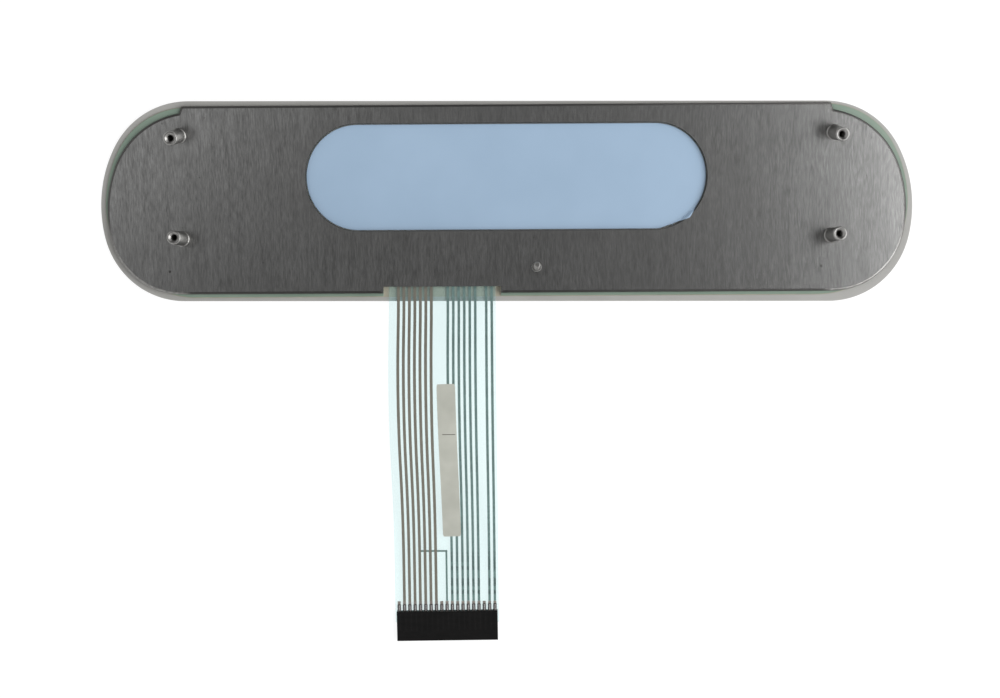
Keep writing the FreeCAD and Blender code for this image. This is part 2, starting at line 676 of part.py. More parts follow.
def tail_path():
    """The line of the circuit film seen from its end: the bend of the keypad,
    a rise out of the notch, a long crest and a foot that flattens out."""
    sketch = doc.addObject("Sketcher::SketchObject", "TailPath")
    radius = value("circuit_radius")
    centre = Vector(0, value("axis_level"), 0)
    span = value("overlay_top") + value("overrun")
    start = value("tail_start")
    root_angle = math.degrees(math.asin(start / radius))
    climb = value("tail_climb_angle")
    fall = value("tail_fall_angle")

    def heading(degrees):
        return Vector(math.cos(math.radians(degrees)), math.sin(math.radians(degrees)), 0)

    keypad = arc(sketch, centre, radius, -90 - root_angle, -90 + math.degrees(math.asin(span / radius)))
    exit_point = centre + radius * heading(-90 - root_angle)
    root_radius = value("tail_root_radius")
    root_centre = exit_point - root_radius * heading(-90 - root_angle)
    root = arc(sketch, root_centre, root_radius, -90 - climb, -90 - root_angle)
    point = root_centre + root_radius * heading(-90 - climb)
    next_point = point + value("tail_climb_length") * heading(180 - climb)
    climb_line = line(sketch, point, next_point)
    near_radius = value("tail_crest_near_radius")
    near_centre = next_point - near_radius * heading(90 - climb)
    near = arc(sketch, near_centre, near_radius, 90 - climb, 90)
    point = near_centre + Vector(0, near_radius, 0)
    next_point = point - Vector(value("tail_crest_length"), 0, 0)
    crest_line = line(sketch, point, next_point)
    far_radius = value("tail_crest_far_radius")
    far_centre = next_point - Vector(0, far_radius, 0)
    far = arc(sketch, far_centre, far_radius, 90, 90 + fall)
    point = far_centre + far_radius * heading(90 + fall)
    foot_radius = value("tail_foot_radius")
    level = value("tail_path_level")
    foot_top = level + foot_radius * (1 - math.cos(math.radians(fall)))
    next_point = point + (point.y - foot_top) / math.sin(math.radians(fall)) * heading(180 + fall)
    fall_line = line(sketch, point, next_point)
    foot_centre = next_point - foot_radius * heading(-90 + fall)
    foot = arc(sketch, foot_centre, foot_radius, -90, -90 + fall)
    point = foot_centre - Vector(0, foot_radius, 0)
    flat_line = line(sketch, point, Vector(-value("tail_end"), level, 0))
    joints = ((keypad, 1, root, 2), (root, 1, climb_line, 1), (climb_line, 2, near, 1),
              (near, 2, crest_line, 1), (crest_line, 2, far, 1), (far, 2, fall_line, 1),
              (fall_line, 2, foot, 2), (foot, 1, flat_line, 1))
    for joint in joints:
        sketch.addConstraint(Sketcher.Constraint("Tangent", *joint))
    for item in (crest_line, flat_line):
        sketch.addConstraint(Sketcher.Constraint("Horizontal", item))
    sketch.addConstraint(Sketcher.Constraint("PointOnObject", keypad, 3, -2))
    dimension(sketch, "DistanceY", "Derived.axis_level", -1, 1, keypad, 3, centre.y)
    dimension(sketch, "Radius", "Derived.circuit_radius", keypad, radius)
    dimension(sketch, "DistanceX", "Derived.overlay_top + Sizes.overrun", -1, 1, keypad, 2, span)
    dimension(sketch, "DistanceX", "-Derived.tail_start", -1, 1, keypad, 1, -start)
    for item, cell in ((root, "tail_root_radius"), (near, "tail_crest_near_radius"),
                       (far, "tail_crest_far_radius"), (foot, "tail_foot_radius")):
        dimension(sketch, "Radius", "Sizes." + cell, item, value(cell))
    dimension(sketch, "Distance", "Sizes.tail_climb_length", climb_line, value("tail_climb_length"))
    dimension(sketch, "Distance", "Sizes.tail_crest_length", crest_line, value("tail_crest_length"))
    dimension(sketch, "Angle", "180 - Sizes.tail_climb_angle", climb_line, math.radians(180 - climb))
    dimension(sketch, "Angle", "180 + Sizes.tail_fall_angle", fall_line, math.radians(180 + fall))
    dimension(sketch, "DistanceX", "-Derived.tail_end", -1, 1, flat_line, 2, -value("tail_end"))
    dimension(sketch, "DistanceY", "Derived.tail_path_level", -1, 1, flat_line, 2, level)
    sketch.Placement = Placement(Vector(), Rotation(Vector(1, 1, 1), 120))
    return sketch


def thicken(name, path, thickness, filled=True):
    """Offset an open path to its rear side, as a face or as a new path."""
    item = doc.addObject("Part::Offset2D", name)
    item.Source = path
    item.Mode = "Skin"
    item.Join = "Intersection"
    item.Fill = filled
    return bind(item, Value="-(%s)" % thickness)


def connector_place(item, along, across, up="0"):
    """Place an object in the connector's own frame, which is slightly skewed."""
    skew = "Sizes.housing_skew"
    move_to(item,
            "Derived.connector_x + (%s) * cos(%s) - (%s) * sin(%s)" % (along, skew, across, skew),
            "Derived.connector_y + (%s) * sin(%s) + (%s) * cos(%s)" % (along, skew, across, skew),
            "Derived.connector_z + (%s)" % up)
    return turn(item, Vector(0, 0, 1), skew)


def contact_offset(number):
    """Distance of a contact from the middle of the row."""
    return "(%d * Sizes.contact_pitch)" % (number - (CONTACT_COUNT - 1) // 2)


def make_circuit_film(path):
    """The printed film: the whole switch circuit and the tail in one piece.
    The film is cut away beside the tail where the plate has its notch."""
    strip_sketch = doc.addObject("Sketcher::SketchObject", "TailStripOutline")
    root_level = "-Derived.tail_start + Sizes.overrun"
    end_level = "-Derived.tail_end"
    polygon(strip_sketch, (
        ("-Sizes.tail_offset + Derived.tail_width / 2", root_level),
        ("-Sizes.tail_offset - Derived.tail_width / 2", root_level),
        ("-Sizes.tail_offset - Derived.tail_width / 2 + Sizes.tail_slant", end_level),
        ("-Sizes.tail_offset + Derived.tail_width / 2 + Sizes.tail_slant", end_level),
    ))
    tail_prism = extrude("TailStripPrism", strip_sketch, UP, "Sizes.prism_height")
    relieved = cut("RelievedCircuit", circuit_prism, notch_prism)
    plan = fuse("CircuitPlan", [relieved, tail_prism])
    section = thicken("FilmSection", path, "Sizes.circuit_thickness")
    sheet = extrude("FilmSheet", section, Vector(1, 0, 0), "Derived.shell_length")
    slots = []
    for number in range(CONTACT_COUNT):
        slot = doc.addObject("Part::Box", "TangSlot%d" % (number + 1))
        bind(slot, Length="Sizes.tang_width + 2 * Sizes.tang_gap",
             Width="Sizes.tang_length + 2 * Sizes.tang_gap", Height="Derived.slot_height")
        connector_place(slot, contact_offset(number) + " - Sizes.tang_width / 2 - Sizes.tang_gap",
                        "(Sizes.crimp_length - Sizes.tang_length) / 2 - Sizes.tang_gap",
                        "-Derived.slot_height / 2")
        slots.append(slot)
    openings = fuse("FilmOpenings", [window_prism] + slots)
    register("circuit_film", cut("CircuitFilm", common("FilmBlank", plan, sheet), openings))


def make_tail_label(path):
    """A bare paper label stuck along the crest of the tail."""
    face_path = thicken("LabelPath", path, "Sizes.circuit_thickness", filled=False)
    section = thicken("LabelSection", face_path, "Sizes.label_thickness")
    sheet = extrude("LabelSheet", section, Vector(1, 0, 0), "Derived.shell_length")
    patch = doc.addObject("Part::Box", "LabelPatch")
    bind(patch, Length="Sizes.label_width", Width="Sizes.label_length", Height="Sizes.prism_height")
    middle = "Sizes.label_width / 2"
    half = "Sizes.label_length / 2"
    skew = "Sizes.label_skew"
    move_to(patch,
            "Derived.label_x - %s * cos(%s) + %s * sin(%s)" % (middle, skew, half, skew),
            "Derived.label_y - %s * sin(%s) - %s * cos(%s)" % (middle, skew, half, skew),
            "0")
    turn(patch, Vector(0, 0, 1), skew)
    register("tail_label", common("TailLabel", patch, sheet))


def make_connector_housing():
    """The moulded housing: a slot for the film behind and a cavity with a
    square mouth for each contact."""
    body = new_body("ConnectorHousing")
    outline = sketch_on(body, "HousingOutline", "XZ_Plane")
    width = "Derived.housing_width / 2"
    height = "Sizes.housing_height / 2"
    polygon(outline, rectangle(width, height))
    block = body.newObject("PartDesign::Pad", "HousingBlock")
    block.Profile = outline
    bind(block, Length="Sizes.housing_length")
    slot_outline = sketch_on(body, "FilmSlotOutline", "XZ_Plane")
    slot_half = "Derived.slot_height / 2"
    side = "(Derived.housing_width / 2 + Sizes.overlap)"
    polygon(slot_outline, rectangle(side, slot_half))
    slot = body.newObject("PartDesign::Pocket", "FilmSlot")
    slot.Profile = slot_outline
    slot.Reversed = True
    bind(slot, Length="Sizes.film_depth + Sizes.film_end_gap")
    cavities = (
        ("Cavity", "Derived.cavity_side / 2", "Sizes.housing_length - Sizes.housing_front_wall"),
        ("Mouth", "Sizes.socket_opening / 2", "Sizes.housing_length + Sizes.overlap"),
    )
    for name, half, depth in cavities:
        outline = sketch_on(body, name + "Outline", "XZ_Plane")
        polygon(outline, rectangle(half, half, "-Derived.contact_row / 2"))
        pocket = body.newObject("PartDesign::Pocket", name)
        pocket.Profile = outline
        pocket.Reversed = True
        bind(pocket, Length=depth)
        pattern = body.newObject("PartDesign::LinearPattern", name + "Row")
        pattern.Originals = [pocket]
        pattern.Direction = (outline, ["H_Axis"])
        bind(pattern, Length="Derived.contact_row")
        pattern.Occurrences = CONTACT_COUNT
        body.Tip = pattern
    connector_place(body, "0", "0")
    register("connector_housing", body)


def make_contact(number):
    """A crimp contact: a strip under the film, a clinched pad above it, a tang
    through the film and a square socket in the housing."""
    name = "contact_%02d" % (number + 1)
    film_half = "Sizes.circuit_thickness / 2"
    sheet = "Sizes.contact_sheet"
    half_width = "Sizes.contact_width / 2"
    socket_start = "-(Sizes.film_depth + Sizes.neck_length)"
    socket_half = "Sizes.socket_side / 2"
    opening_half = "Sizes.socket_opening / 2"
    blocks = (
        ("strip",
         ("Sizes.contact_width", "Sizes.crimp_length + Sizes.film_depth + Sizes.neck_length", sheet),
         ("-" + half_width, socket_start, "-%s - %s" % (film_half, sheet))),
        ("pad", ("Sizes.contact_width", "Sizes.crimp_length", sheet), ("-" + half_width, "0", film_half)),
        ("tang", ("Sizes.tang_width", "Sizes.tang_length", "Sizes.circuit_thickness"),
         ("-Sizes.tang_width / 2", "(Sizes.crimp_length - Sizes.tang_length) / 2", "-" + film_half)),
        ("neck", ("Sizes.contact_width", "Sizes.neck_length - Sizes.film_slot_gap",
                  "%s - %s" % (socket_half, film_half)),
         ("-" + half_width, socket_start, "-" + socket_half)),
        ("socket", ("Sizes.socket_side", "Sizes.socket_length", "Sizes.socket_side"),
         ("-" + socket_half, "%s - Sizes.socket_length" % socket_start, "-" + socket_half)),
        ("opening", ("Sizes.socket_opening", "Sizes.socket_length", "Sizes.socket_opening"),
         ("-" + opening_half, "%s - Sizes.socket_length" % socket_start, "-" + opening_half)),
    )
    pieces = {}
    for label, lengths, corner in blocks:
        item = doc.addObject("Part::Box", "%s_%s" % (name, label))
        bind(item, Length=lengths[0], Width=lengths[1], Height=lengths[2])
        along = "%s + (%s)" % (contact_offset(number), corner[0])
        pieces[label] = connector_place(item, along, corner[1], corner[2])
    metal = fuse(name + "_metal", [pieces[label] for label in ("strip", "pad", "tang", "neck", "socket")])
    register(name, cut(name + "_cut", metal, pieces["opening"]))


pillow_prisms = make_graphic_overlay()
make_switch_layers(pillow_prisms)
make_window_layers()
make_backing_plate()
make_standoffs()
make_ground_stud()
make_snap_domes()
film_path = tail_path()
make_circuit_film(film_path)
make_tail_label(film_path)
make_connector_housing()
for contact_number in range(CONTACT_COUNT):
    make_contact(contact_number)
doc.recompute()

# Refuse to write anything if a feature failed or a piece is not one sound solid
for item in doc.Objects:
    if "Invalid" in item.State or "Error" in item.State:
        raise RuntimeError("%s failed: %s" % (item.Label, item.State))
for name, item in nodes:
    if item.Shape.isNull() or not item.Shape.isValid():
        raise RuntimeError("%s has no sound shape" % name)
    if len(item.Shape.Solids) != 1:
        raise RuntimeError("%s is %d solids, not one" % (name, len(item.Shape.Solids)))
for name, item in nodes:
    item.Shape.exportStep("parts/%s.step" % name)
    limits = item.Shape.BoundBox
    print("%-22s volume %10.2f  x %8.2f %8.2f  y %8.2f %8.2f  z %6.2f %6.2f" % (
        name, item.Shape.Volume, limits.XMin, limits.XMax, limits.YMin, limits.YMax,
        limits.ZMin, limits.ZMax))
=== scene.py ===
import math

import bmesh
import bpy
from mathutils import Matrix, Vector


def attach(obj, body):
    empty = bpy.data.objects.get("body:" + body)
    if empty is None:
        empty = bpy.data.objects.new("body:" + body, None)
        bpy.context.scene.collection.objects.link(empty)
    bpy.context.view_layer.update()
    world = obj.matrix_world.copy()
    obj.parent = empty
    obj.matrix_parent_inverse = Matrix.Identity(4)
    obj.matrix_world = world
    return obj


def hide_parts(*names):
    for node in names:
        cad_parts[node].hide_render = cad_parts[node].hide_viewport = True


# Membrane keypad lying on its front, seen from its rear. Lengths below are in
# millimetres until a mesh is made; the frame is the CAD model's own.

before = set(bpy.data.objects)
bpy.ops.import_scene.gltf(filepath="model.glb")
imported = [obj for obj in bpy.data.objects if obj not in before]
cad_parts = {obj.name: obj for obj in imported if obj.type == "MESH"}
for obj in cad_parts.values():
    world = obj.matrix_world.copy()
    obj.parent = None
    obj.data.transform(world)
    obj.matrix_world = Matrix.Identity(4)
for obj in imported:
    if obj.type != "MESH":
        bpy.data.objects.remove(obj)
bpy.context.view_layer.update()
MM = 0.001

# The bend of the keypad: every layer is part of a cylinder about one axis
BEND = 255.0
AXIS_LEVEL = 255.35

# Depths of the layers' faces behind the plain front face, and the thickness of
# the circuit film and of the mask over the lens
OVERLAY_REAR = 0.25
ADHESIVE_REAR = 0.38
FILM_FRONT = 0.93
FILM_THICKNESS = 0.18
FILM_REAR = FILM_FRONT + FILM_THICKNESS
PLATE_FRONT = 1.24
PLATE_REAR = 2.84
MASK_THICKNESS = 0.08

# The keys: two columns on each side of the window and one line below it
KEY_SIZE = (24.0, 13.0)
KEY_RISE = 0.35
KEY_COLUMNS = (160.0, 122.0)
KEY_LINES = (21.0, -2.0, -25.0)
LOW_KEY_PITCH = 30.0
LOW_KEY_LINE = -29.5

# The opening of the layers and the lens in it, with the distance from the
# middle to the centres of the lens's round ends, the level of its middle line,
# half the height of the smoked field in front of it and the mask's lifted corner
OPENING_SIZE = (185.2, 48.9)
LENS_SIZE = (184.4, 48.2)
LENS_REACH = (LENS_SIZE[0] - LENS_SIZE[1]) / 2
WINDOW_LEVEL = 10.15
FIELD_HALF = 21.5
MASK_CORNER = (84.7, -8.9)

# The plate's straight edges and ends, its notch for the tail and the radius of
# the flanges that are welded to it
PLATE_EDGE = 43.0
PLATE_HALF = 184.6
NOTCH_MIDDLE = -29.9
NOTCH_HALF = 27.2
NOTCH_LEVEL = -40.0
POST_FLANGE = 3.6
STUD_FLANGE = 2.25

# The tail from its root in the notch, past the start of its rise, to its end,
# and the connector on it
TAIL_ROOT = NOTCH_LEVEL + 0.3
ROOT_ROWS = (-41.5, -43.5)
TAIL_MIDDLE = -29.9
TAIL_HALF = 24.7
TAIL_SLANT = 0.6
TAIL_START = -45.45
TAIL_END = -200.95
INK_THICKNESS = 0.02
CONTACT_PITCH = 2.54
CONNECTOR = Vector((-29.3, -195.35, 1.4))
CONNECTOR_SKEW = math.radians(0.5)


# Shapes


def on_bend(x, y, depth):
    """A point of a bent layer, at a depth behind the plain front face."""
    return Vector((x, y, AXIS_LEVEL - math.sqrt((BEND - depth) ** 2 - y * y)))


def bend_normal(y):
    """The rear-facing normal of every bent layer at a distance across."""
    slope = math.asin(y / (BEND - PLATE_REAR))
    return Vector((0.0, -math.sin(slope), math.cos(slope)))


def tail_route():
    """The film's front face along the tail as (y, z, slope), from the notch to
    the connector: a rise, a long crest and a foot that flattens out."""
    radius = BEND - FILM_FRONT
    slope = math.asin(-TAIL_START / radius)
    y, z = TAIL_START, AXIS_LEVEL - radius * math.cos(slope)
    level = CONNECTOR.z - FILM_THICKNESS / 2
    samples = [(y, z, slope)]
    climb = math.radians(24)
    fall = math.radians(-21)

    def bend_to(target, size):
        nonlocal y, z, slope
        steps = max(2, round(abs(target - slope) * size))
        turn = (target - slope) / steps
        for _ in range(steps):
            chord = 2 * size * math.sin(abs(turn) / 2)
            middle = slope + turn / 2
            y -= chord * math.cos(middle)
            z += chord * math.sin(middle)
            slope += turn
            samples.append((y, z, slope))

    def run(length):
        nonlocal y, z
        steps = max(1, round(length / 2))
        for _ in range(steps):
            y -= length / steps * math.cos(slope)
            z += length / steps * math.sin(slope)
            samples.append((y, z, slope))

    bend_to(climb, 50)
    run(8)
    bend_to(0, 65)
    run(1)
    bend_to(fall, 80)
    foot_top = level + 110 * (1 - math.cos(fall))
    run((z - foot_top) / math.sin(-fall))
    bend_to(0, 110)
    run(y - TAIL_END)
    return samples


ROUTE = tail_route()


def on_film(x, y, offset):
    """A point of the circuit film, at an offset from its front face along its
    own normal. The y given is measured on the front face."""
    if y >= TAIL_START:
        return on_bend(x, y, FILM_FRONT + offset)
    for (y0, z0, a0), (y1, z1, a1) in zip(ROUTE, ROUTE[1:]):
        if y >= y1 - 1e-6:
            break
    share = (y - y0) / (y1 - y0)
    slope = a0 + (a1 - a0) * share
    height = z0 + (z1 - z0) * share
    return Vector((x, y + offset * math.sin(slope), height + offset * math.cos(slope)))


def tail_shift(y):
    """How far the slanted tail has moved sideways at a distance along it."""
    return TAIL_SLANT * (TAIL_START - y) / (TAIL_START - TAIL_END)


def arc_points(centre, radius, start, end, pitch=1.2):
    """Points along an arc given in degrees, both ends included."""
    count = max(3, round(abs(math.radians(end - start)) * radius / pitch))
    angles = [math.radians(start + (end - start) * i / count) for i in range(count + 1)]
    return [(centre[0] + radius * math.cos(a), centre[1] + radius * math.sin(a)) for a in angles]


def mirror_join(right_half):
    """A closed loop from its right half, which runs upwards."""
    return right_half + [(-x, y) for x, y in reversed(right_half)]


def right_side(half, end, level, top, top_corner, bottom, bottom_corner, stop=None):
    """The right side of a long outline, upwards: a corner, a broad end about
    one level and another corner, which stops short where a place is given."""
    centre_x = half - end
    corners = []
    for edge, radius, sign in ((bottom, bottom_corner, -1), (top, top_corner, 1)):
        corner_y = edge - sign * radius
        reach = math.sqrt((end - radius) ** 2 - (corner_y - level) ** 2)
        corners.append((centre_x + reach, corner_y, math.degrees(math.atan2(corner_y - level, reach))))
    (low_x, low_y, low_angle), (high_x, high_y, high_angle) = corners
    last_angle = math.degrees(math.atan2(stop[1] - high_y, stop[0] - high_x)) if stop else 90
    side = arc_points((low_x, low_y), bottom_corner, -90, low_angle)
    side += arc_points((centre_x, level), end, low_angle, high_angle)[1:]
    side += arc_points((high_x, high_y), top_corner, high_angle, last_angle)[1:]
    return side


def long_outline(**sizes):
    """Two straight edges joined by three-centre ends, anticlockwise."""
    return mirror_join(right_side(**sizes))


def moved(points, x=0.0, y=0.0, turn=0.0):
    """Points turned by an angle in degrees about the origin, then moved."""
    c, s = math.cos(math.radians(turn)), math.sin(math.radians(turn))
    return [(px * c - py * s + x, px * s + py * c + y) for px, py in points]


def stadium(length, height, x, y):
    """A loop with half-round ends, anticlockwise."""
    radius = height / 2
    reach = length / 2 - radius
    pitch = 1.0
    right = arc_points((reach, 0), radius, -90, 90, pitch)
    left = arc_points((-reach, 0), radius, 90, 270, pitch)
    return moved(right + left, x, y)


def inset(points, distance):
    """A closed anticlockwise loop moved inwards, with mitred corners."""
    result = []
    count = len(points)
    for i, (x, y) in enumerate(points):
        normals = []
        for (ax, ay), (bx, by) in ((points[i - 1], (x, y)), ((x, y), points[(i + 1) % count])):
            length = math.hypot(bx - ax, by - ay)
            normals.append(((by - ay) / length, (ax - bx) / length))
        (ux, uy), (vx, vy) = normals
        share = distance / (1 + ux * vx + uy * vy)
        result.append((x - (ux + vx) * share, y - (uy + vy) * share))
    return result


def plan_mesh(rims, holes=(), islands=(), rows=()):
    """A flat mesh of an outline with holes and islands, cut along rows of
    constant y. Each of the three is a set of nested loops that carry a height,
    and the heights come back with the points."""
    bm = bmesh.new()
    layer = bm.verts.layers.float.new("height")
    open_edges = []

    def nest(loops):
        rings = []
        for points, height in loops:
            ring = []
            for i, (x, y) in enumerate(points):
                vertex = bm.verts.new((x, y, 0))
                vertex[layer] = height[i] if isinstance(height, list) else height
                ring.append(vertex)
            rings.append(ring)
        for outer, inner in zip(rings, rings[1:]):
            for i in range(len(outer)):
                j = (i + 1) % len(outer)
                bm.faces.new((outer[i], outer[j], inner[j], inner[i]))
        return rings

    def ring_edges(ring):
        pairs = zip(ring, ring[1:] + ring[:1])
        return [bm.edges.get(pair) or bm.edges.new(pair) for pair in pairs]

    open_edges += ring_edges(nest(rims)[-1])
    for loops in holes:
        open_edges += ring_edges(nest(loops)[0])
    for loops in islands:
        rings = nest(loops)
        open_edges += ring_edges(rings[0])
        if len(rings) > 1:
            open_edges += ring_edges(rings[-1])
    bmesh.ops.triangle_fill(bm, use_beauty=True, use_dissolve=False, edges=open_edges, normal=(0, 0, 1))
    for y in rows:
        bmesh.ops.bisect_plane(bm, geom=bm.verts[:] + bm.edges[:] + bm.faces[:], dist=1e-5,
                               plane_co=(0, y, 0), plane_no=(0, 1, 0))
    for face in bm.faces:
        face.normal_update()
        if face.normal.z < 0:
            face.normal_flip()
    bm.verts.index_update()
    points = [(v.co.x, v.co.y, v[layer]) for v in bm.verts]
    faces = [[v.index for v in face.verts] for face in bm.faces]
    bm.free()
    return points, faces


def add_object(name, data):
    """A new object in the scene."""
    item = bpy.data.objects.new(name, data)
    bpy.context.scene.collection.objects.link(item)
    return item


def add_mesh(name, points, faces, sharp=35, normals=None):
    """A mesh object from points in millimetres. Where a point has a known
    normal, the faces that lie along it are shaded with it."""
    mesh = bpy.data.meshes.new(name)
    mesh.from_pydata([Vector(p) * MM for p in points], [], faces)
    mesh.validate()
    mesh.shade_smooth()
    mesh.set_sharp_from_angle(angle=math.radians(sharp))
    if normals:
        custom = []
        for face in mesh.polygons:
            for corner in face.vertices:
                known = normals.get(corner)
                fits = known is not None and abs(known.dot(face.normal)) > 0.7
                custom.append(known * math.copysign(1.0, known.dot(face.normal)) if fits else Vector())
        mesh.normals_split_custom_set(custom)
    return add_object(name, mesh)


def sheet_from_plan(name, plan, front, rear, sharp=35):
    """A closed sheet: the plan mapped to a front face and a rear face."""
    points, faces = plan
    count = len(points)
    placed = [rear(*p) for p in points] + [front(*p) for p in points]
    edges = [pair for face in faces for pair in zip(face, face[1:] + face[:1])]
    shared = set(edges)
    walls = [(a + count, b + count, b, a) for a, b in edges if (b, a) not in shared]
    turned = [[i + count for i in reversed(face)] for face in faces]
    normals = {}
    for i, (x, y, height) in enumerate(points):
        if height == 0.0:
            normals[i] = normals[i + count] = bend_normal(y)
    return add_mesh(name, placed, faces + turned + walls, sharp, normals)


def ring_fall(radius, steps):
    """Insets and falls of a rounded edge, from the side to the top."""
    angles = [math.radians(90 * i / steps) for i in range(steps + 1)]
    return [(radius * (1 - math.cos(a)), radius * (1 - math.sin(a))) for a in angles]


def joined(parts):
    """Several (points, faces) pairs as one."""
    points, faces = [], []
    for more_points, more_faces in parts:
        start = len(points)
        points += list(more_points)
        faces += [[i + start for i in face] for face in more_faces]
    return points, faces


def strip_faces(sections):
    """The faces of a closed strip that has four points to a section."""
    faces = []
    for i in range(sections - 1):
        a, b = 4 * i, 4 * i + 4
        for j in range(4):
            k = (j + 1) % 4
            faces.append([a + j, a + k, b + k, b + j])
    last = 4 * (sections - 1)
    return faces + [[3, 2, 1, 0], [last, last + 1, last + 2, last + 3]]


def ribbon(x0, x1, ys, low, high, shift):
    """A thin closed strip that follows the film between two offsets."""
    points = []
    for y in ys:
        for x, offset in ((x0, low), (x1, low), (x1, high), (x0, high)):
            points.append(on_film(x + shift(y), y, offset))
    return points, strip_faces(len(ys))


def lathe(profile, base, axis, segments):
    """A closed turned shape. The profile runs from the axis at the foot, out
    and round, and back to the axis, as (radius, height)."""
    side = Vector((1, 0, 0))
    up = axis.normalized()
    across = up.cross(side).normalized()
    side = across.cross(up)
    points, faces, rings = [], [], []
    for radius, height in profile:
        if radius < 1e-6:
            rings.append([len(points)])
            points.append(base + up * height)
            continue
        ring = []
        for i in range(segments):
            angle = 2 * math.pi * i / segments
            outwards = side * math.cos(angle) + across * math.sin(angle)
            ring.append(len(points))
            points.append(base + up * height + outwards * radius)
        rings.append(ring)
    for low, high in zip(rings, rings[1:]):
        for i in range(segments):
            j = (i + 1) % segments
            if len(low) == 1:
                faces.append([low[0], high[j], high[i]])
            elif len(high) == 1:
                faces.append([low[i], low[j], high[0]])
            else:
                faces.append([low[i], low[j], high[j], high[i]])
    return points, faces


# Materials

# The range in which most of a noise lies
NOISE_LOW = 0.3
NOISE_HIGH = 0.7


class Graph:
    """Short ways to add nodes to a shader tree."""

    def __init__(self, tree):
        self.tree = tree

    def link(self, source, target):
        self.tree.links.new(source, target)

    def put(self, target, amount):
        if isinstance(amount, bpy.types.NodeSocket):
            self.link(amount, target)
        else:
            target.default_value = amount

    def ramp(self, source, low, high, start=0.0, end=1.0):
        """A value ramp between two amounts."""
        node = self.tree.nodes.new("ShaderNodeMapRange")
        node.inputs["From Min"].default_value = low
        node.inputs["From Max"].default_value = high
        node.inputs["To Min"].default_value = start
        node.inputs["To Max"].default_value = end
        self.link(source, node.inputs["Value"])
        return node.outputs["Result"]

    def math(self, operation, first, second=0.0):
        node = self.tree.nodes.new("ShaderNodeMath")
        node.operation = operation
        self.put(node.inputs[0], first)
        self.put(node.inputs[1], second)
        return node.outputs[0]

    def distance(self, dx, dy):
        """The straight way made of two amounts at right angles."""
        square = self.math("ADD", self.math("MULTIPLY", dx, dx), self.math("MULTIPLY", dy, dy))
        return self.math("SQRT", square)


class Paint(Graph):
    """A node material around one Principled shader."""

    def __init__(self, name, **sockets):
        self.material = bpy.data.materials.new(name)
        self.material.use_nodes = True
        super().__init__(self.material.node_tree)
        self.shader = self.tree.nodes["Principled BSDF"]
        self.output = self.tree.nodes["Material Output"]
        for socket, amount in sockets.items():
            self.shader.inputs[socket.replace("_", " ")].default_value = amount
        coordinates = self.tree.nodes.new("ShaderNodeTexCoord")
        self.place = coordinates.outputs["Object"]

    def texture(self, kind, scale, offset=(0, 0, 0)):
        """A texture whose scale is in cycles per millimetre along each axis."""
        mapping = self.tree.nodes.new("ShaderNodeMapping")
        mapping.inputs["Scale"].default_value = [s / MM for s in scale]
        mapping.inputs["Location"].default_value = offset
        self.link(self.place, mapping.inputs["Vector"])
        texture = self.tree.nodes.new(kind)
        texture.inputs["Scale"].default_value = 1.0
        self.link(mapping.outputs["Vector"], texture.inputs["Vector"])
        return texture

    def noise(self, scale, detail=4.0, roughness=0.6, offset=(0, 0, 0)):
        texture = self.texture("ShaderNodeTexNoise", scale, offset)
        texture.inputs["Detail"].default_value = detail
        texture.inputs["Roughness"].default_value = roughness
        return texture.outputs["Fac"]

    def cells(self, scale):
        """Distance to the nearest of scattered points."""
        return self.texture("ShaderNodeTexVoronoi", scale).outputs["Distance"]

    def mix(self, share, first, second):
        """Colours mixed by a share."""
        node = self.tree.nodes.new("ShaderNodeMix")
        node.data_type = "RGBA"
        self.put(node.inputs["Factor"], share)
        self.put(node.inputs["A"], first)
        self.put(node.inputs["B"], second)
        return node.outputs["Result"]

    def axis(self, name):
        """One coordinate of the place, in millimetres."""
        node = self.tree.nodes.new("ShaderNodeSeparateXYZ")
        self.link(self.place, node.inputs[0])
        return self.math("MULTIPLY", node.outputs[name], 1 / MM)

    def near(self, x, y, radius):
        """One at a spot in plan, falling to nought at its rim."""
        soft = 0.3
        dx = self.math("SUBTRACT", self.axis("X"), x)
        dy = self.math("SUBTRACT", self.axis("Y"), y)
        return self.ramp(self.distance(dx, dy), radius - soft, radius, 1.0, 0.0)

    def bump(self, height, strength, distance):
        node = self.tree.nodes.new("ShaderNodeBump")
        node.inputs["Strength"].default_value = strength
        node.inputs["Distance"].default_value = distance * MM
        self.link(height, node.inputs["Height"])
        self.link(node.outputs["Normal"], self.shader.inputs["Normal"])
        return self

    def color(self, source):
        self.put(self.shader.inputs["Base Color"], source)

    def rough(self, source):
        self.put(self.shader.inputs["Roughness"], source)

    def tint(self, noise, low, high):
        """Colour the shader between two tones, by a noise."""
        self.color(self.mix(self.ramp(noise, NOISE_LOW, NOISE_HIGH), low, high))

    def grit(self, noise, low, high):
        """Roughen the shader between two amounts, by a noise."""
        self.rough(self.ramp(noise, NOISE_LOW, NOISE_HIGH, low, high))

    def blend(self, share, first, second):
        """Make the surface of two shaders, with a share of the second."""
        node = self.tree.nodes.new("ShaderNodeMixShader")
        self.put(node.inputs["Fac"], share)
        self.link(first, node.inputs[1])
        self.link(second, node.inputs[2])
        self.link(node.outputs["Shader"], self.output.inputs["Surface"])


def rgb(red, green, blue):
    """A colour as it is read off a screen, made linear."""
    def linear(c):
        c /= 255
        return c / 12.92 if c <= 0.04045 else ((c + 0.055) / 1.055) ** 2.4
    return (linear(red), linear(green), linear(blue), 1.0)


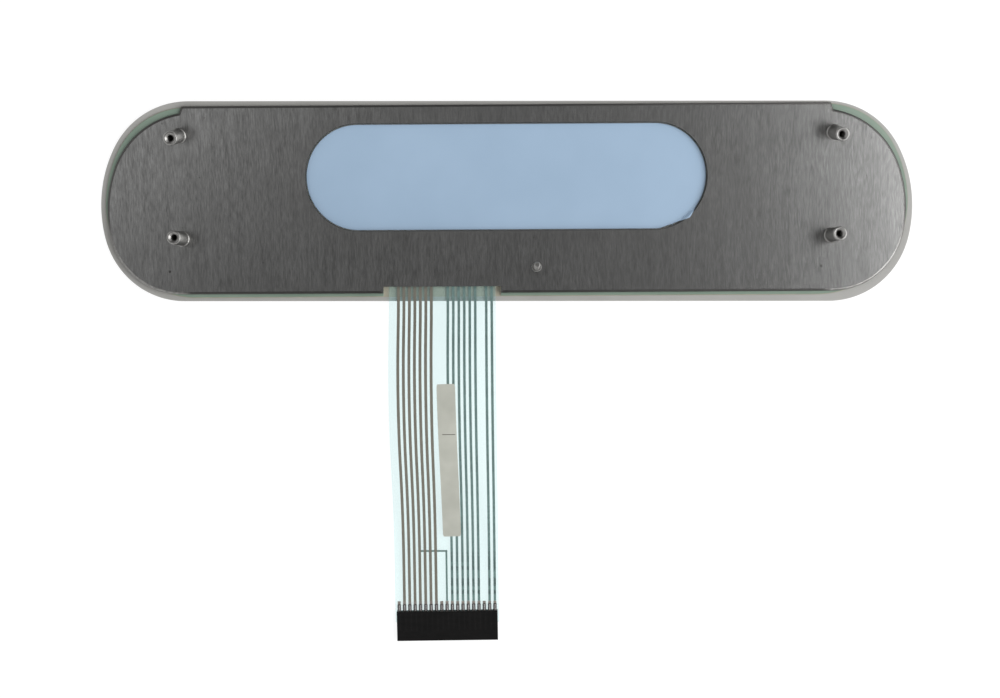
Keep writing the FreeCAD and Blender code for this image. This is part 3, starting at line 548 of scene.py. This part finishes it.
def plate_metal():
    """Mill-finish sheet with fine grain across the keypad and small pits."""
    paint = Paint("PlateMetal", Metallic=1.0)
    fine = paint.noise((1.5, 0.2, 0.3), 5.0, 0.65)
    broad = paint.noise((0.3, 0.03, 0.1), 3.0, 0.5, (3, 7, 0))
    cloud = paint.noise((0.05, 0.05, 0.05), 3.0, 0.5, (9, 2, 0))
    speck = paint.noise((1.3, 1.3, 1.3), 2.0, 0.5, (1, 5, 0))
    grain = paint.math("ADD", paint.math("MULTIPLY", fine, 0.75), paint.math("MULTIPLY", broad, 0.25))
    base = paint.mix(paint.ramp(grain, 0.35, 0.65), rgb(124, 124, 123), rgb(184, 184, 183))
    base = paint.mix(paint.ramp(cloud, 0.35, 0.7, 0.0, 0.3), base, rgb(148, 148, 147))
    pits = paint.ramp(paint.cells((0.13, 0.13, 0.13)), 0.028, 0.045, 1.0, 0.0)
    marks = paint.math("MAXIMUM", paint.near(-155.84, -32.48, 0.7), paint.near(145.24, -31.63, 0.7))
    dark = paint.math("MAXIMUM", pits, marks)
    base = paint.mix(paint.math("MULTIPLY", dark, 0.8), base, rgb(62, 60, 58))
    paint.color(base)
    paint.grit(grain, 0.27, 0.2)
    height = paint.math("ADD", paint.math("MULTIPLY", grain, 0.8), paint.math("MULTIPLY", speck, 0.25))
    height = paint.math("SUBTRACT", height, paint.math("MULTIPLY", dark, 0.6))
    return paint.bump(height, 0.14, 0.05)


def edge_shade_and_highlight():
    """The plate's rolled edge: rougher, darkened all round as painted shade, with a painted highlight along
    the lower ends.
    """
    paint = Paint("EdgeShadeAndHighlight", Metallic=1.0)
    fine = paint.noise((0.6, 0.6, 0.6), 4.0)
    low = paint.ramp(paint.axis("Y"), -27.0, -8.0, 1.0, 0.0)
    far = paint.ramp(paint.math("ABSOLUTE", paint.axis("X")), 146.0, 150.0)
    share = paint.math("MULTIPLY", paint.math("MULTIPLY", low, far), paint.ramp(fine, 0.35, 0.6, 0.5, 1.0))
    # Painted shade on the whole edge, and a painted highlight where the lower ends' mask reaches.
    paint.color(paint.mix(share, rgb(78, 77, 76), rgb(146, 145, 143)))
    paint.grit(fine, 0.36, 0.5)
    return paint.bump(fine, 0.15, 0.02)


def turned_metal():
    """Turned bar with faint rings."""
    paint = Paint("TurnedMetal", Metallic=1.0)
    rings = paint.noise((0.3, 0.3, 4.0), 3.0)
    cloud = paint.noise((0.9, 0.9, 0.9), 3.0, 0.6, (4, 4, 4))
    paint.tint(cloud, rgb(128, 127, 125), rgb(150, 149, 147))
    paint.grit(cloud, 0.3, 0.42)
    return paint.bump(rings, 0.25, 0.03)


def overlay_sheet():
    """Matt warm grey film with a clear, smoked field in front of the lens."""
    paint = Paint("OverlaySheet", Specular_IOR_Level=0.55)
    cloud = paint.noise((0.04, 0.04, 0.04), 3.0)
    fine = paint.noise((2.0, 2.0, 2.0), 4.0)
    sideways = paint.math("ABSOLUTE", paint.axis("X"))
    past_end = paint.math("MAXIMUM", paint.math("SUBTRACT", sideways, LENS_REACH), 0.0)
    aside = paint.math("SUBTRACT", paint.axis("Y"), WINDOW_LEVEL)
    soft = 0.1
    field = paint.ramp(paint.distance(past_end, aside), FIELD_HALF - soft, FIELD_HALF + soft, 1.0, 0.0)
    grey = paint.mix(paint.ramp(cloud, NOISE_LOW, NOISE_HIGH), rgb(150, 149, 146), rgb(158, 157, 154))
    paint.color(paint.mix(field, grey, rgb(46, 50, 56)))
    gloss = paint.ramp(field, 0.0, 1.0, 1.0, 0.3)
    paint.rough(paint.math("MULTIPLY", paint.ramp(fine, NOISE_LOW, NOISE_HIGH, 0.42, 0.55), gloss))
    return paint.bump(fine, 0.15, 0.02)


def adhesive_line():
    """Beige transfer adhesive, seen as a thin line."""
    paint = Paint("AdhesiveLine", Specular_IOR_Level=0.3)
    cloud = paint.noise((0.15, 0.15, 0.15), 3.0)
    paint.tint(cloud, rgb(142, 138, 124), rgb(160, 155, 140))
    paint.grit(cloud, 0.5, 0.65)
    return paint.bump(cloud, 0.1, 0.02)


def clear_layer(name, tone):
    """An inner film, seen only at its edge."""
    paint = Paint(name, Specular_IOR_Level=0.4)
    cloud = paint.noise((0.1, 0.1, 0.1), 3.0)
    fine = paint.noise((2.5, 2.5, 2.5), 2.0)
    lighter = tuple(min(1.0, c * 1.12) for c in tone[:3]) + (1.0,)
    paint.tint(cloud, tone, lighter)
    paint.grit(fine, 0.3, 0.45)
    return paint.bump(fine, 0.08, 0.02)


def circuit_sheet():
    """Green printed film behind the plate."""
    paint = Paint("CircuitSheet", Specular_IOR_Level=0.5)
    cloud = paint.noise((0.05, 0.05, 0.05), 3.0)
    fine = paint.noise((3.0, 3.0, 3.0), 3.0)
    paint.tint(cloud, rgb(114, 132, 119), rgb(126, 142, 129))
    paint.grit(fine, 0.3, 0.42)
    return paint.bump(fine, 0.06, 0.02)


def tail_sheet():
    """Clear polyester with a faint cyan tint."""
    paint = Paint("TailSheet", Specular_IOR_Level=0.5)
    cloud = paint.noise((0.04, 0.03, 0.05), 3.0)
    fine = paint.noise((3.0, 3.0, 3.0), 3.0)
    paint.tint(cloud, rgb(212, 236, 238), rgb(222, 242, 244))
    paint.grit(fine, 0.25, 0.35)
    clear = paint.tree.nodes.new("ShaderNodeBsdfTransparent")
    clear.inputs["Color"].default_value = (0.905, 0.965, 0.965, 1.0)
    paint.blend(0.06, clear.outputs["BSDF"], paint.shader.outputs["BSDF"])
    return paint.bump(fine, 0.05, 0.02)


def printed_track(name, low, high):
    """Silver-filled ink, dull and slightly uneven."""
    paint = Paint(name, Specular_IOR_Level=0.3, Metallic=0.15)
    along = paint.noise((2.2, 0.15, 1.0), 4.0)
    fine = paint.noise((6.0, 6.0, 6.0), 2.0)
    paint.tint(along, low, high)
    paint.grit(fine, 0.5, 0.65)
    return paint.bump(fine, 0.2, 0.02)


def mask_film():
    """Pale blue peelable film over the lens."""
    paint = Paint("MaskFilm", Specular_IOR_Level=0.35)
    cloud = paint.noise((0.02, 0.02, 0.02), 3.0)
    fine = paint.noise((1.5, 1.5, 1.5), 3.0)
    paint.tint(cloud, rgb(143, 165, 187), rgb(149, 171, 193))
    paint.grit(fine, 0.34, 0.44)
    return paint.bump(cloud, 0.05, 0.1)


def lens_plastic():
    """Clear, faintly cool plastic."""
    paint = Paint("LensPlastic", IOR=1.58, Transmission_Weight=0.9)
    cloud = paint.noise((0.1, 0.1, 0.1), 2.0)
    paint.tint(cloud, rgb(226, 233, 238), rgb(236, 241, 244))
    paint.grit(cloud, 0.06, 0.12)
    return paint.bump(cloud, 0.02, 0.05)


def label_paper():
    """Pale matt paper."""
    paint = Paint("LabelPaper", Specular_IOR_Level=0.25)
    fibre = paint.noise((1.8, 1.2, 1.8), 5.0)
    cloud = paint.noise((0.08, 0.08, 0.08), 2.0)
    paint.tint(cloud, rgb(164, 165, 156), rgb(176, 177, 168))
    paint.grit(fibre, 0.6, 0.75)
    return paint.bump(fibre, 0.2, 0.02)


def housing_plastic():
    """Black moulding with a fine spark-eroded texture."""
    paint = Paint("HousingPlastic", Specular_IOR_Level=0.12)
    fine = paint.noise((5.0, 5.0, 5.0), 3.0)
    cloud = paint.noise((0.2, 0.6, 0.2), 3.0)
    paint.tint(cloud, rgb(8, 8, 8), rgb(15, 14, 14))
    paint.grit(fine, 0.5, 0.62)
    return paint.bump(fine, 0.2, 0.02)


def shaded_contact_metal():
    """Plated strip with a fine grain, darkened as painted shade."""
    paint = Paint("ContactMetalPaintedShade", Metallic=1.0)
    fine = paint.noise((1.5, 6.0, 1.5), 3.0)
    # Dark tones: painted shade on the plated metal.
    paint.tint(fine, rgb(78, 77, 78), rgb(96, 95, 96))
    paint.grit(fine, 0.2, 0.3)
    return paint.bump(fine, 0.2, 0.02)


def rib_highlight_metal():
    """The rolled edges of a crimp: the same metal, made lighter as a painted highlight."""
    paint = Paint("RibMetalPaintedHighlight", Metallic=1.0)
    fine = paint.noise((1.5, 6.0, 1.5), 3.0)
    # Light tones: painted highlight on the crimp's metal.
    paint.tint(fine, rgb(140, 138, 136), rgb(160, 158, 156))
    paint.grit(fine, 0.3, 0.42)
    return paint.bump(fine, 0.15, 0.02)


def rule_ink():
    """Dark print on the label."""
    paint = Paint("RuleInk", Specular_IOR_Level=0.2)
    fine = paint.noise((4.0, 4.0, 4.0), 3.0)
    paint.tint(fine, rgb(84, 82, 78), rgb(104, 102, 98))
    paint.grit(fine, 0.6, 0.75)
    return paint.bump(fine, 0.1, 0.02)


def spring_steel():
    """Bright dome steel."""
    paint = Paint("SpringSteel", Metallic=1.0)
    fine = paint.noise((4.0, 0.4, 4.0), 3.0)
    paint.tint(fine, rgb(188, 188, 190), rgb(208, 208, 210))
    paint.grit(fine, 0.25, 0.35)
    return paint.bump(fine, 0.1, 0.02)


def paint_over(item, paint):
    """Give an object one material."""
    item.data.materials.clear()
    item.data.materials.append(paint.material)


PLATE = plate_metal()
EDGE = edge_shade_and_highlight()
TURNED = turned_metal()
OVERLAY = overlay_sheet()
ADHESIVE = adhesive_line()
CIRCUIT = circuit_sheet()
TAIL = tail_sheet()
NEAR_TRACK = printed_track("NearTrack", rgb(103, 101, 92), rgb(119, 116, 106))
FAR_TRACK = printed_track("FarTrack", rgb(98, 116, 111), rgb(114, 132, 127))
PAD_INK = printed_track("PadInk", rgb(112, 107, 102), rgb(134, 128, 122))
MASK = mask_film()
LENS = lens_plastic()
PAPER = label_paper()
HOUSING = housing_plastic()
SHADED_CONTACT = shaded_contact_metal()
RIB_HIGHLIGHT = rib_highlight_metal()
RULE = rule_ink()
DOME = spring_steel()
RETAINER = clear_layer("RetainerFilm", rgb(196, 200, 196))
SPACER = clear_layer("SpacerFilm", rgb(176, 190, 182))


# Pieces

# Cuts along the flat sheets, so that they can follow the bend
ROWS = [1.5 * i for i in range(-31, 32)]
KEY_PLACES = [(side * x, y) for side in (-1, 1) for x in KEY_COLUMNS for y in KEY_LINES]
KEY_PLACES += [(LOW_KEY_PITCH * (i - 2.5), LOW_KEY_LINE) for i in range(6)]


def place_piece(item, paint, slot, *nodes):
    """Dress a finished piece and let it stand for CAD nodes."""
    paint_over(item, paint)
    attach(item, "root")
    if nodes:
        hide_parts(*nodes)


def make_overlay():
    """The front skin: low pillows over the keys and a softened rim."""
    outline = long_outline(half=188.0, end=57.5, level=-3.0, top=45.8, top_corner=40.4,
                           bottom=-45.8, bottom_corner=38.2)
    outline = moved(outline, turn=-0.3, y=-1.2)
    rims = [(inset(outline, d), -0.25 * f) for d, f in ring_fall(0.22, 3)]
    pillow = ((0.0, 0.0), (0.25, 0.12), (0.55, 0.5), (0.85, 0.88), (1.2, 1.0))
    islands = [[(inset(stadium(*KEY_SIZE, x, y), d), KEY_RISE * rise) for d, rise in pillow]
               for x, y in KEY_PLACES]
    plan = plan_mesh(rims, islands=islands, rows=ROWS)

    def front(x, y, h):
        return on_bend(x, y, -max(h, 0.0))

    def rear(x, y, h):
        return on_bend(x, y, OVERLAY_REAR - h if h > 0 else OVERLAY_REAR + h * 0.4)

    place_piece(sheet_from_plan("overlay", plan, front, rear), OVERLAY, "overlay", "graphic_overlay")


def film_outline(grow=0.0):
    """The circuit film's outline in plan, grown by a border."""
    outline = long_outline(half=185.6 + grow, end=55.1 + grow, level=-3.0, top=43.1 + grow,
                           top_corner=37.7 + grow, bottom=-43.75 - grow, bottom_corner=42.0 + grow)
    return moved(outline, y=-0.7)


def notch_corners(edge):
    """The notch for the tail, cut into a lower edge at one height."""
    left, right = NOTCH_MIDDLE - NOTCH_HALF, NOTCH_MIDDLE + NOTCH_HALF
    return [(left, edge), (left, NOTCH_LEVEL), (right, NOTCH_LEVEL), (right, edge)]


def make_adhesive():
    """The adhesive line around the film, with a hair of rounding on its rear."""
    rims = [(inset(film_outline(0.35), d), f) for d, f in ring_fall(0.05, 2)]
    openings = [stadium(*OPENING_SIZE, 0, WINDOW_LEVEL)] + [stadium(*KEY_SIZE, x, y) for x, y in KEY_PLACES]
    plan = plan_mesh(rims, [[(loop, 0.0)] for loop in openings], rows=ROWS)
    item = sheet_from_plan("adhesive", plan, lambda x, y, h: on_bend(x, y, OVERLAY_REAR),
                           lambda x, y, h: on_bend(x, y, ADHESIVE_REAR - h))
    place_piece(item, ADHESIVE, "adhesive", "overlay_adhesive")


def make_circuit():
    """The film behind the plate, cut away at the notch where the tail leaves."""
    outline = film_outline()
    outline += notch_corners(outline[0][1])
    opening = stadium(*OPENING_SIZE, 0, WINDOW_LEVEL)
    plan = plan_mesh([(outline, 0.0)], [[(opening, 0.0)]], rows=ROWS)
    item = sheet_from_plan("circuit", plan, lambda x, y, h: on_bend(x, y, FILM_FRONT),
                           lambda x, y, h: on_bend(x, y, FILM_REAR))
    place_piece(item, CIRCUIT, "circuit_film", "circuit_film")


def make_tail():
    """The film's clear strip, from the notch along its route to the connector."""
    ys = [TAIL_ROOT, *ROOT_ROWS] + [y for y, z, a in ROUTE]
    strip = ribbon(TAIL_MIDDLE - TAIL_HALF, TAIL_MIDDLE + TAIL_HALF, ys, 0.0, FILM_THICKNESS, tail_shift)
    place_piece(add_mesh("tail", *strip), TAIL, "circuit_film")


def track_x(number):
    """The middle of a track, before the tail's slant, by its contact."""
    return TAIL_MIDDLE + (number - 10) * CONTACT_PITCH


def track_rows(start, end):
    """Rows of the route between two distances."""
    inside = [y for y, z, a in ROUTE if end + 0.05 < y < start - 0.05]
    head = [y for y in (start, *ROOT_ROWS, TAIL_START) if end < y <= start]
    return sorted(set(head + inside + [end]), reverse=True)


def track(number, start, end, width, near):
    """A printed line on the near or the far side of the tail."""
    low, high = (FILM_THICKNESS, FILM_THICKNESS + INK_THICKNESS) if near else (-INK_THICKNESS, 0.0)
    x = track_x(number)
    return ribbon(x - width / 2, x + width / 2, track_rows(start, end), low, high, tail_shift)


def make_tracks():
    """Seven near tracks, nine far ones, of which one starts at a crossing line,
    and a pad for every contact."""
    pads, pads_end = -190.6, -200.5
    near = [track(n, TAIL_ROOT, pads, 1.35, True) for n in range(2, 9)]
    far = [track(n, TAIL_ROOT, pads, 1.2, False) for n in (11, 12, 13, 14, 15, 16, 18, 19)]
    crossing, half_line = -166.2, 0.45
    far.append(track(10, crossing, pads, 2 * half_line, False))
    edges = [crossing + half_line, crossing - half_line]
    far.append(ribbon(track_x(5) - 0.3, track_x(10) + half_line, edges, -INK_THICKNESS, 0.0, tail_shift))
    ends = [track(n, pads, pads_end, 1.45, True) for n in range(1, 20)]
    for name, strips, paint in (("near_tracks", near, NEAR_TRACK), ("far_tracks", far, FAR_TRACK),
                                ("track_ends", ends, PAD_INK)):
        place_piece(add_mesh(name, *joined(strips)), paint, "circuit_film")


def make_label():
    """A bare label that follows the crest, with a thin rule across it."""
    middle_x, middle_y = -27.4, -121.5
    turn = math.radians(1.2)
    half_width, half_length, corner = 4.25, 37.45, 0.35
    thickness = 0.1
    samples = 60
    points = []
    for i in range(samples + 1):
        along = half_length * (1 - 2 * i / samples)
        depth = max(0.0, abs(along) - (half_length - corner))
        narrow = corner - math.sqrt(max(0.0, corner ** 2 - depth ** 2))
        for across, offset in ((-1, 0.0), (1, 0.0), (1, thickness), (-1, thickness)):
            wide = across * (half_width - narrow)
            x = middle_x + wide * math.cos(turn) - along * math.sin(turn)
            y = middle_y + wide * math.sin(turn) + along * math.cos(turn)
            points.append(on_film(x, y, FILM_THICKNESS + offset))
    label = add_mesh("label", points, strip_faces(samples + 1))
    place_piece(label, PAPER, "label", "tail_label")
    paper = FILM_THICKNESS + thickness
    rule = ribbon(middle_x - 2.9, middle_x + 3.1, [-107.4, -107.75], paper, paper + 0.015, lambda y: 0.25)
    place_piece(add_mesh("label_rule", *rule), RULE, "label")


def plate_outline():
    """Punched ends joined by the strip's own edges: the long top edge stands
    above the ends, with a sloping step at each side, and the bottom edge has
    the notch for the tail."""
    step_foot, step_top = (149.49, 39.79), (148.1, PLATE_EDGE)
    side = right_side(half=PLATE_HALF, end=54.5, level=-5.5, top=40.3, top_corner=40.5,
                      bottom=-PLATE_EDGE, bottom_corner=33.8, stop=step_foot)
    return mirror_join(side + [step_top]) + notch_corners(-PLATE_EDGE)


def make_plate():
    """The plate with its rear edge rounded over, but for the notch, and a
    broken edge around the window."""
    outline = plate_outline()
    weights = []
    for x, y in outline:
        in_notch = abs(x - NOTCH_MIDDLE) < NOTCH_HALF + 0.1 and -PLATE_EDGE - 0.1 < y < 0
        weights.append(0.0 if in_notch else 1.0)
    rims = [(inset(outline, d), [f * w for w in weights]) for d, f in ring_fall(1.1, 6)]
    lip = stadium(185.6, 49.3, 0, WINDOW_LEVEL)
    holes = [[(lip, 0.0), (inset(lip, 0.14), 0.06), (inset(lip, 0.2), 0.2)]]
    plan = plan_mesh(rims, holes, rows=ROWS)
    item = sheet_from_plan("plate", plan, lambda x, y, h: on_bend(x, y, PLATE_FRONT),
                           lambda x, y, h: on_bend(x, y, PLATE_REAR - h), sharp=40)
    place_piece(item, PLATE, "plate", "backing_plate")
    # The tilted faces of the rolled edge and of the window's broken edge get the edge material, with its
    # painted shade and painted highlight.
    item.data.materials.append(EDGE.material)
    for face in item.data.polygons:
        if abs(face.normal.dot(bend_normal(face.center.y / MM))) < 0.999:
            face.material_index = 1


def mask_lift(x, y):
    """How far the mask's lower right corner has risen, up onto the plate: it
    climbs over a short run outwards and fades to both sides of one angle."""
    start, run = 22.9, 1.9
    below, spread, fade = 48.9, 14.85, 11
    rise = 2.1
    out = math.hypot(x - LENS_REACH, y - WINDOW_LEVEL) - start
    off = abs(math.degrees(math.atan2(y - WINDOW_LEVEL, x - LENS_REACH)) + below)
    for share in (out / run, (spread - off) / fade):
        share = min(1.0, max(0.0, share))
        rise *= share * share * (3 - 2 * share)
    return rise


def steps_between(start, end, count):
    """The places that part a straight way into equal steps."""
    return [(start[0] + (end[0] - start[0]) * i / count, start[1] + (end[1] - start[1]) * i / count)
            for i in range(1, count)]


def fold(start, end, half_width):
    """A low crease in the mask between two places, fading out at its ends."""
    away = Vector((end[0] - start[0], end[1] - start[1]))
    side = Vector((-away.y, away.x)).normalized() * half_width
    points = []
    for share, swell in ((0.0, 0.1), (0.25, 1.0), (0.75, 1.0), (1.0, 0.1)):
        x, y = start[0] + away.x * share, start[1] + away.y * share
        for across, offset in ((-swell, -0.01), (0.0, 0.09 * swell), (swell, -0.01)):
            a, b = x + side.x * across, y + side.y * across
            points.append(on_bend(a, b, FILM_REAR + MASK_THICKNESS + offset + mask_lift(a, b)))
    faces = []
    for i in range(3):
        for j, k in ((0, 1), (1, 2), (2, 0)):
            a, b = 3 * i, 3 * i + 3
            faces.append([a + j, b + j, b + k, a + k])
    faces += [[0, 1, 2], [11, 10, 9]]
    return points, faces


def make_window():
    """The lens, and the mask whose lower right corner has lifted a little."""
    loop = stadium(*LENS_SIZE, 0, WINDOW_LEVEL)
    rims = [(inset(loop, d), f) for d, f in ring_fall(0.12, 3)]
    lens = sheet_from_plan("lens", plan_mesh(rims, rows=ROWS), lambda x, y, h: on_bend(x, y, OVERLAY_REAR),
                           lambda x, y, h: on_bend(x, y, FILM_REAR - h))
    place_piece(lens, LENS, "lens", "display_lens")
    cut_x, cut_y = 71.15, -3.72
    kept = [x <= cut_x or y >= cut_y for x, y in loop]
    first = next(i for i in range(len(loop)) if kept[i] and not kept[i - 1])
    arc = [loop[i] for i in [*range(first, len(loop)), *range(first)] if kept[i]]
    mask_loop = (arc + steps_between(arc[-1], MASK_CORNER, 8) + [MASK_CORNER]
                 + steps_between(MASK_CORNER, arc[0], 8))
    rims = [(inset(mask_loop, d), f) for d, f in ring_fall(MASK_THICKNESS, 3)]
    rims += [(inset(mask_loop, d), 0.0) for d in (0.4, 0.8, 1.2, 1.6, 2.0)]
    mask = sheet_from_plan("mask", plan_mesh(rims, rows=ROWS),
                           lambda x, y, h: on_bend(x, y, FILM_REAR + mask_lift(x, y)),
                           lambda x, y, h: on_bend(x, y, FILM_REAR + MASK_THICKNESS - h + mask_lift(x, y)))
    place_piece(mask, MASK, "protective_film", "protective_film")
    crease = add_mesh("mask_crease", *fold((74.5, -10.3), (77.2, -12.2), 0.3), sharp=60)
    place_piece(crease, MASK, "protective_film")


def seat(x, y, width):
    """The foot and the axis of a post that stands square to the plate."""
    distance = math.sqrt((BEND - PLATE_REAR) ** 2 - width ** 2 / 4)
    height = math.sqrt(distance ** 2 - y * y)
    return Vector((x, y, AXIS_LEVEL - height)), Vector((0, -y, height)).normalized()


def rounded(profile, corners, radius):
    """Round some corners of a profile with two points each."""
    result = []
    for i, point in enumerate(profile):
        if i not in corners:
            result.append(point)
            continue
        here = Vector(point)
        for other in (profile[i - 1], profile[i + 1]):
            away = Vector(other) - here
            result.append(tuple(here + away.normalized() * min(radius, away.length * 0.4)))
    return result


def standoff_profile():
    """A round post on a weld flange, with a countersunk threaded bore."""
    body, tip, sink, bore, groove = 3.175, 2.825, 2.3, 1.4, 1.62
    top, pitch = 15.9, 0.794
    post = rounded([(0, 0), (POST_FLANGE, 0), (POST_FLANGE, 0.35), (body, 0.7), (body, top - 0.35),
                    (tip, top), (sink, top), (bore, top - 0.9)], (2, 3, 4, 5, 6), 0.1)
    height = top - 1.0
    while height > 6.0:
        post += [(bore, height), (groove, height - 0.28), (groove, height - 0.42), (bore, height - 0.7)]
        height -= pitch
    return post + [(bore, 4.9), (0, 4.1)]


def stud_profile():
    """A threaded stud on a thin weld head."""
    crest, root, head = 1.45, 1.2, 0.8
    top, pitch = 12.7, 0.5
    stud = rounded([(0, 0), (STUD_FLANGE, 0), (STUD_FLANGE, head), (crest, head)], (2,), 0.15)
    height = 1.4
    while height < 11.6:
        stud += [(crest, height), (crest, height + 0.12), (root, height + 0.3), (root, height + 0.38)]
        height += pitch
    return stud + [(crest, 12.1), (1.38, 12.35), (1.0, top), (0, top)]


def make_posts():
    """Four standoffs near the plate's corners and a stud under the window."""
    profile = standoff_profile()
    for row, y in (("upper", 29.6), ("lower", -17.45)):
        for end, x in (("left", -150.2), ("right", 150.2)):
            base, axis = seat(x, y, 2 * POST_FLANGE)
            item = add_mesh(f"post_{row}_{end}", *lathe(profile, base, axis, 72), sharp=25)
            place_piece(item, TURNED, "fastener", f"standoff_{row}_{end}")
    base, axis = seat(13.9, -31.3, 2 * STUD_FLANGE)
    item = add_mesh("stud", *lathe(stud_profile(), base, axis, 56), sharp=25)
    place_piece(item, TURNED, "fastener", "ground_stud")


def in_connector(along, across, up):
    """A point given in the connector's own slightly skewed frame."""
    c, s = math.cos(CONNECTOR_SKEW), math.sin(CONNECTOR_SKEW)
    return CONNECTOR + Vector((along * c - across * s, along * s + across * c, up))


def connector_rib(middle, half_width, start, end, level, rise):
    """A low rounded rib along the connector, closed at both ends."""
    steps = 8
    arch = [(half_width * math.cos(math.pi * i / steps), rise * math.sin(math.pi * i / steps))
            for i in range(steps + 1)]
    points = [in_connector(middle + x, across, level + z) for across in (start, end) for x, z in arch]
    count = len(arch)
    faces = [[i, i + 1, i + 1 + count, i + count] for i in range(count - 1)]
    faces.append([count - 1, 0, count, 2 * count - 1])
    faces.append(list(range(count))[::-1])
    faces.append([i + count for i in range(count)])
    return points, faces


def bevelled_copy(node, name, width):
    """A copy of a CAD node's shape with its sharp edges broken."""
    bm = bmesh.new()
    bm.from_mesh(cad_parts[node].data)
    bmesh.ops.remove_doubles(bm, verts=bm.verts, dist=1e-6)
    bmesh.ops.dissolve_limit(bm, angle_limit=math.radians(1), verts=bm.verts, edges=bm.edges)
    mesh = bpy.data.meshes.new(name)
    bm.to_mesh(mesh)
    bm.free()
    item = add_object(name, mesh)
    bevel = item.modifiers.new("Bevel", "BEVEL")
    bevel.width = width * MM
    bevel.segments = 2
    bevel.limit_method = "ANGLE"
    bevel.angle_limit = math.radians(40)
    mesh.shade_smooth()
    mesh.set_sharp_from_angle(angle=math.radians(60))
    return item


def make_connector():
    """The housing and its crimps with broken edges, and the ribs on them."""
    housing = bevelled_copy("connector_housing", "housing", 0.1)
    place_piece(housing, HOUSING, "housing", "connector_housing")
    sleeves, ribs, moulding = [], [], []
    for number in range(1, 20):
        node = f"contact_{number:02d}"
        contact = bevelled_copy(node, f"crimp_{number:02d}", 0.05)
        # Each crimp's metal is darkened as painted shade.
        place_piece(contact, SHADED_CONTACT, "contact", node)
        middle = (number - 10) * CONTACT_PITCH
        sleeves.append(connector_rib(middle, half_width=0.86, start=0.05, end=3.3, level=0.24, rise=0.26))
        # The ribs' metal is lightened as a painted highlight.
        ribs.append(connector_rib(middle, half_width=0.24, start=0.3, end=3.1, level=0.42, rise=0.2))
        moulding.append(connector_rib(middle, half_width=0.75, start=-9.2, end=-0.6, level=1.39, rise=0.07))
    for name, parts, paint, slot in (("crimp_sleeves", sleeves, SHADED_CONTACT, "contact"),
                                     ("crimp_ribs", ribs, RIB_HIGHLIGHT, "contact"),
                                     ("housing_ribs", moulding, HOUSING, "housing")):
        place_piece(add_mesh(name, *joined(parts), sharp=50), paint, slot)


def dress_inner_nodes():
    """The CAD pieces that stay as they are inside the stack."""
    inner = {"dome_retainer": RETAINER, "dome_spacer": SPACER, "rear_adhesive": ADHESIVE}
    inner.update({f"snap_dome_{number:02d}": DOME for number in range(1, 19)})
    for name, paint in inner.items():
        paint_over(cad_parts[name], paint)


make_overlay()
make_adhesive()
make_circuit()
make_tail()
make_tracks()
make_label()
make_plate()
make_window()
make_posts()
make_connector()
dress_inner_nodes()


# Stage


def make_floor():
    """A wide pale floor that shows white to the camera and keeps a shadow. It
    lies a hair under the connector's flat underside."""
    mesh = bpy.data.meshes.new("floor")
    size = 6.0
    corners = [(-size, -size, 0), (size, -size, 0), (size, size, 0), (-size, size, 0)]
    mesh.from_pydata(corners, [], [(0, 1, 2, 3)])
    floor = add_object("floor", mesh)
    floor.location.z = -0.0001
    paint = Paint("FloorPaper", Specular_IOR_Level=0.0, Roughness=0.9)
    paint.color((0.92, 0.92, 0.92, 1.0))
    light_path = paint.tree.nodes.new("ShaderNodeLightPath")
    seen = paint.math("MAXIMUM", light_path.outputs["Is Camera Ray"], light_path.outputs["Is Glossy Ray"])
    seen = paint.math("MAXIMUM", seen, light_path.outputs["Is Transmission Ray"])
    glow = paint.tree.nodes.new("ShaderNodeEmission")
    glow.inputs["Color"].default_value = (1.0, 1.0, 1.0, 1.0)
    glow.inputs["Strength"].default_value = 1.1
    paint.blend(paint.math("MULTIPLY", seen, 0.8), paint.shader.outputs["BSDF"], glow.outputs["Emission"])
    mesh.materials.append(paint.material)


def make_world():
    """A studio that is dim overhead and pale to the sides and the front."""
    world = bpy.data.worlds.new("Studio")
    bpy.context.scene.world = world
    world.use_nodes = True
    sky = Graph(world.node_tree)
    coordinates = sky.tree.nodes.new("ShaderNodeTexCoord")
    split = sky.tree.nodes.new("ShaderNodeSeparateXYZ")
    sky.link(coordinates.outputs["Generated"], split.inputs[0])
    x, y = split.outputs["X"], split.outputs["Y"]
    to_right = sky.math("SUBTRACT", x, sky.math("MULTIPLY", y, 0.12))
    to_left = sky.math("SUBTRACT", sky.math("MULTIPLY", x, -1.0), sky.math("MULTIPLY", y, 0.25))
    to_front = sky.math("MULTIPLY", y, -1.0)
    light = sky.ramp(to_right, 0.2, 0.46, 0.18, 1.05)
    light = sky.math("ADD", light, sky.ramp(to_left, 0.17, 0.5, 0.0, 0.85))
    light = sky.math("ADD", light, sky.ramp(to_front, 0.5, 0.9, 0.0, 0.25))
    background = world.node_tree.nodes["Background"]
    sky.link(light, background.inputs["Color"])
    background.inputs["Strength"].default_value = 1.0


def add_lamp(name, place, target, size, watts):
    """A square-cornered area lamp that points at a target."""
    data = bpy.data.lights.new(name, "AREA")
    data.shape = "RECTANGLE"
    data.size, data.size_y = size
    data.energy = watts
    lamp = add_object(name, data)
    lamp.location = place
    lamp.rotation_euler = (Vector(target) - Vector(place)).to_track_quat("-Z", "Y").to_euler()
    lamp.visible_camera = False


def make_camera():
    """The photograph's camera, close to straight overhead."""
    data = bpy.data.cameras.new("camera")
    data.sensor_width = 36.0
    data.lens = 48.6
    data.clip_start = 0.01
    data.clip_end = 20.0
    camera = add_object("camera", data)
    turn = Matrix(((0.99997476, 0.00565652, 0.00429859),
                   (-0.00607512, 0.99449751, 0.1045839),
                   (-0.00368336, -0.10460738, 0.99450678)))
    camera.matrix_world = Matrix.Translation(Vector((-0.596, -3.638, 630.0)) * MM) @ turn.to_4x4()
    bpy.context.scene.camera = camera


make_floor()
make_world()
add_lamp("right_box", (1.02, -0.03, 0.85), (0, 0, 0), (1.05, 1.1), 15.5)
make_camera()
bpy.context.scene.view_settings.view_transform = "Standard"
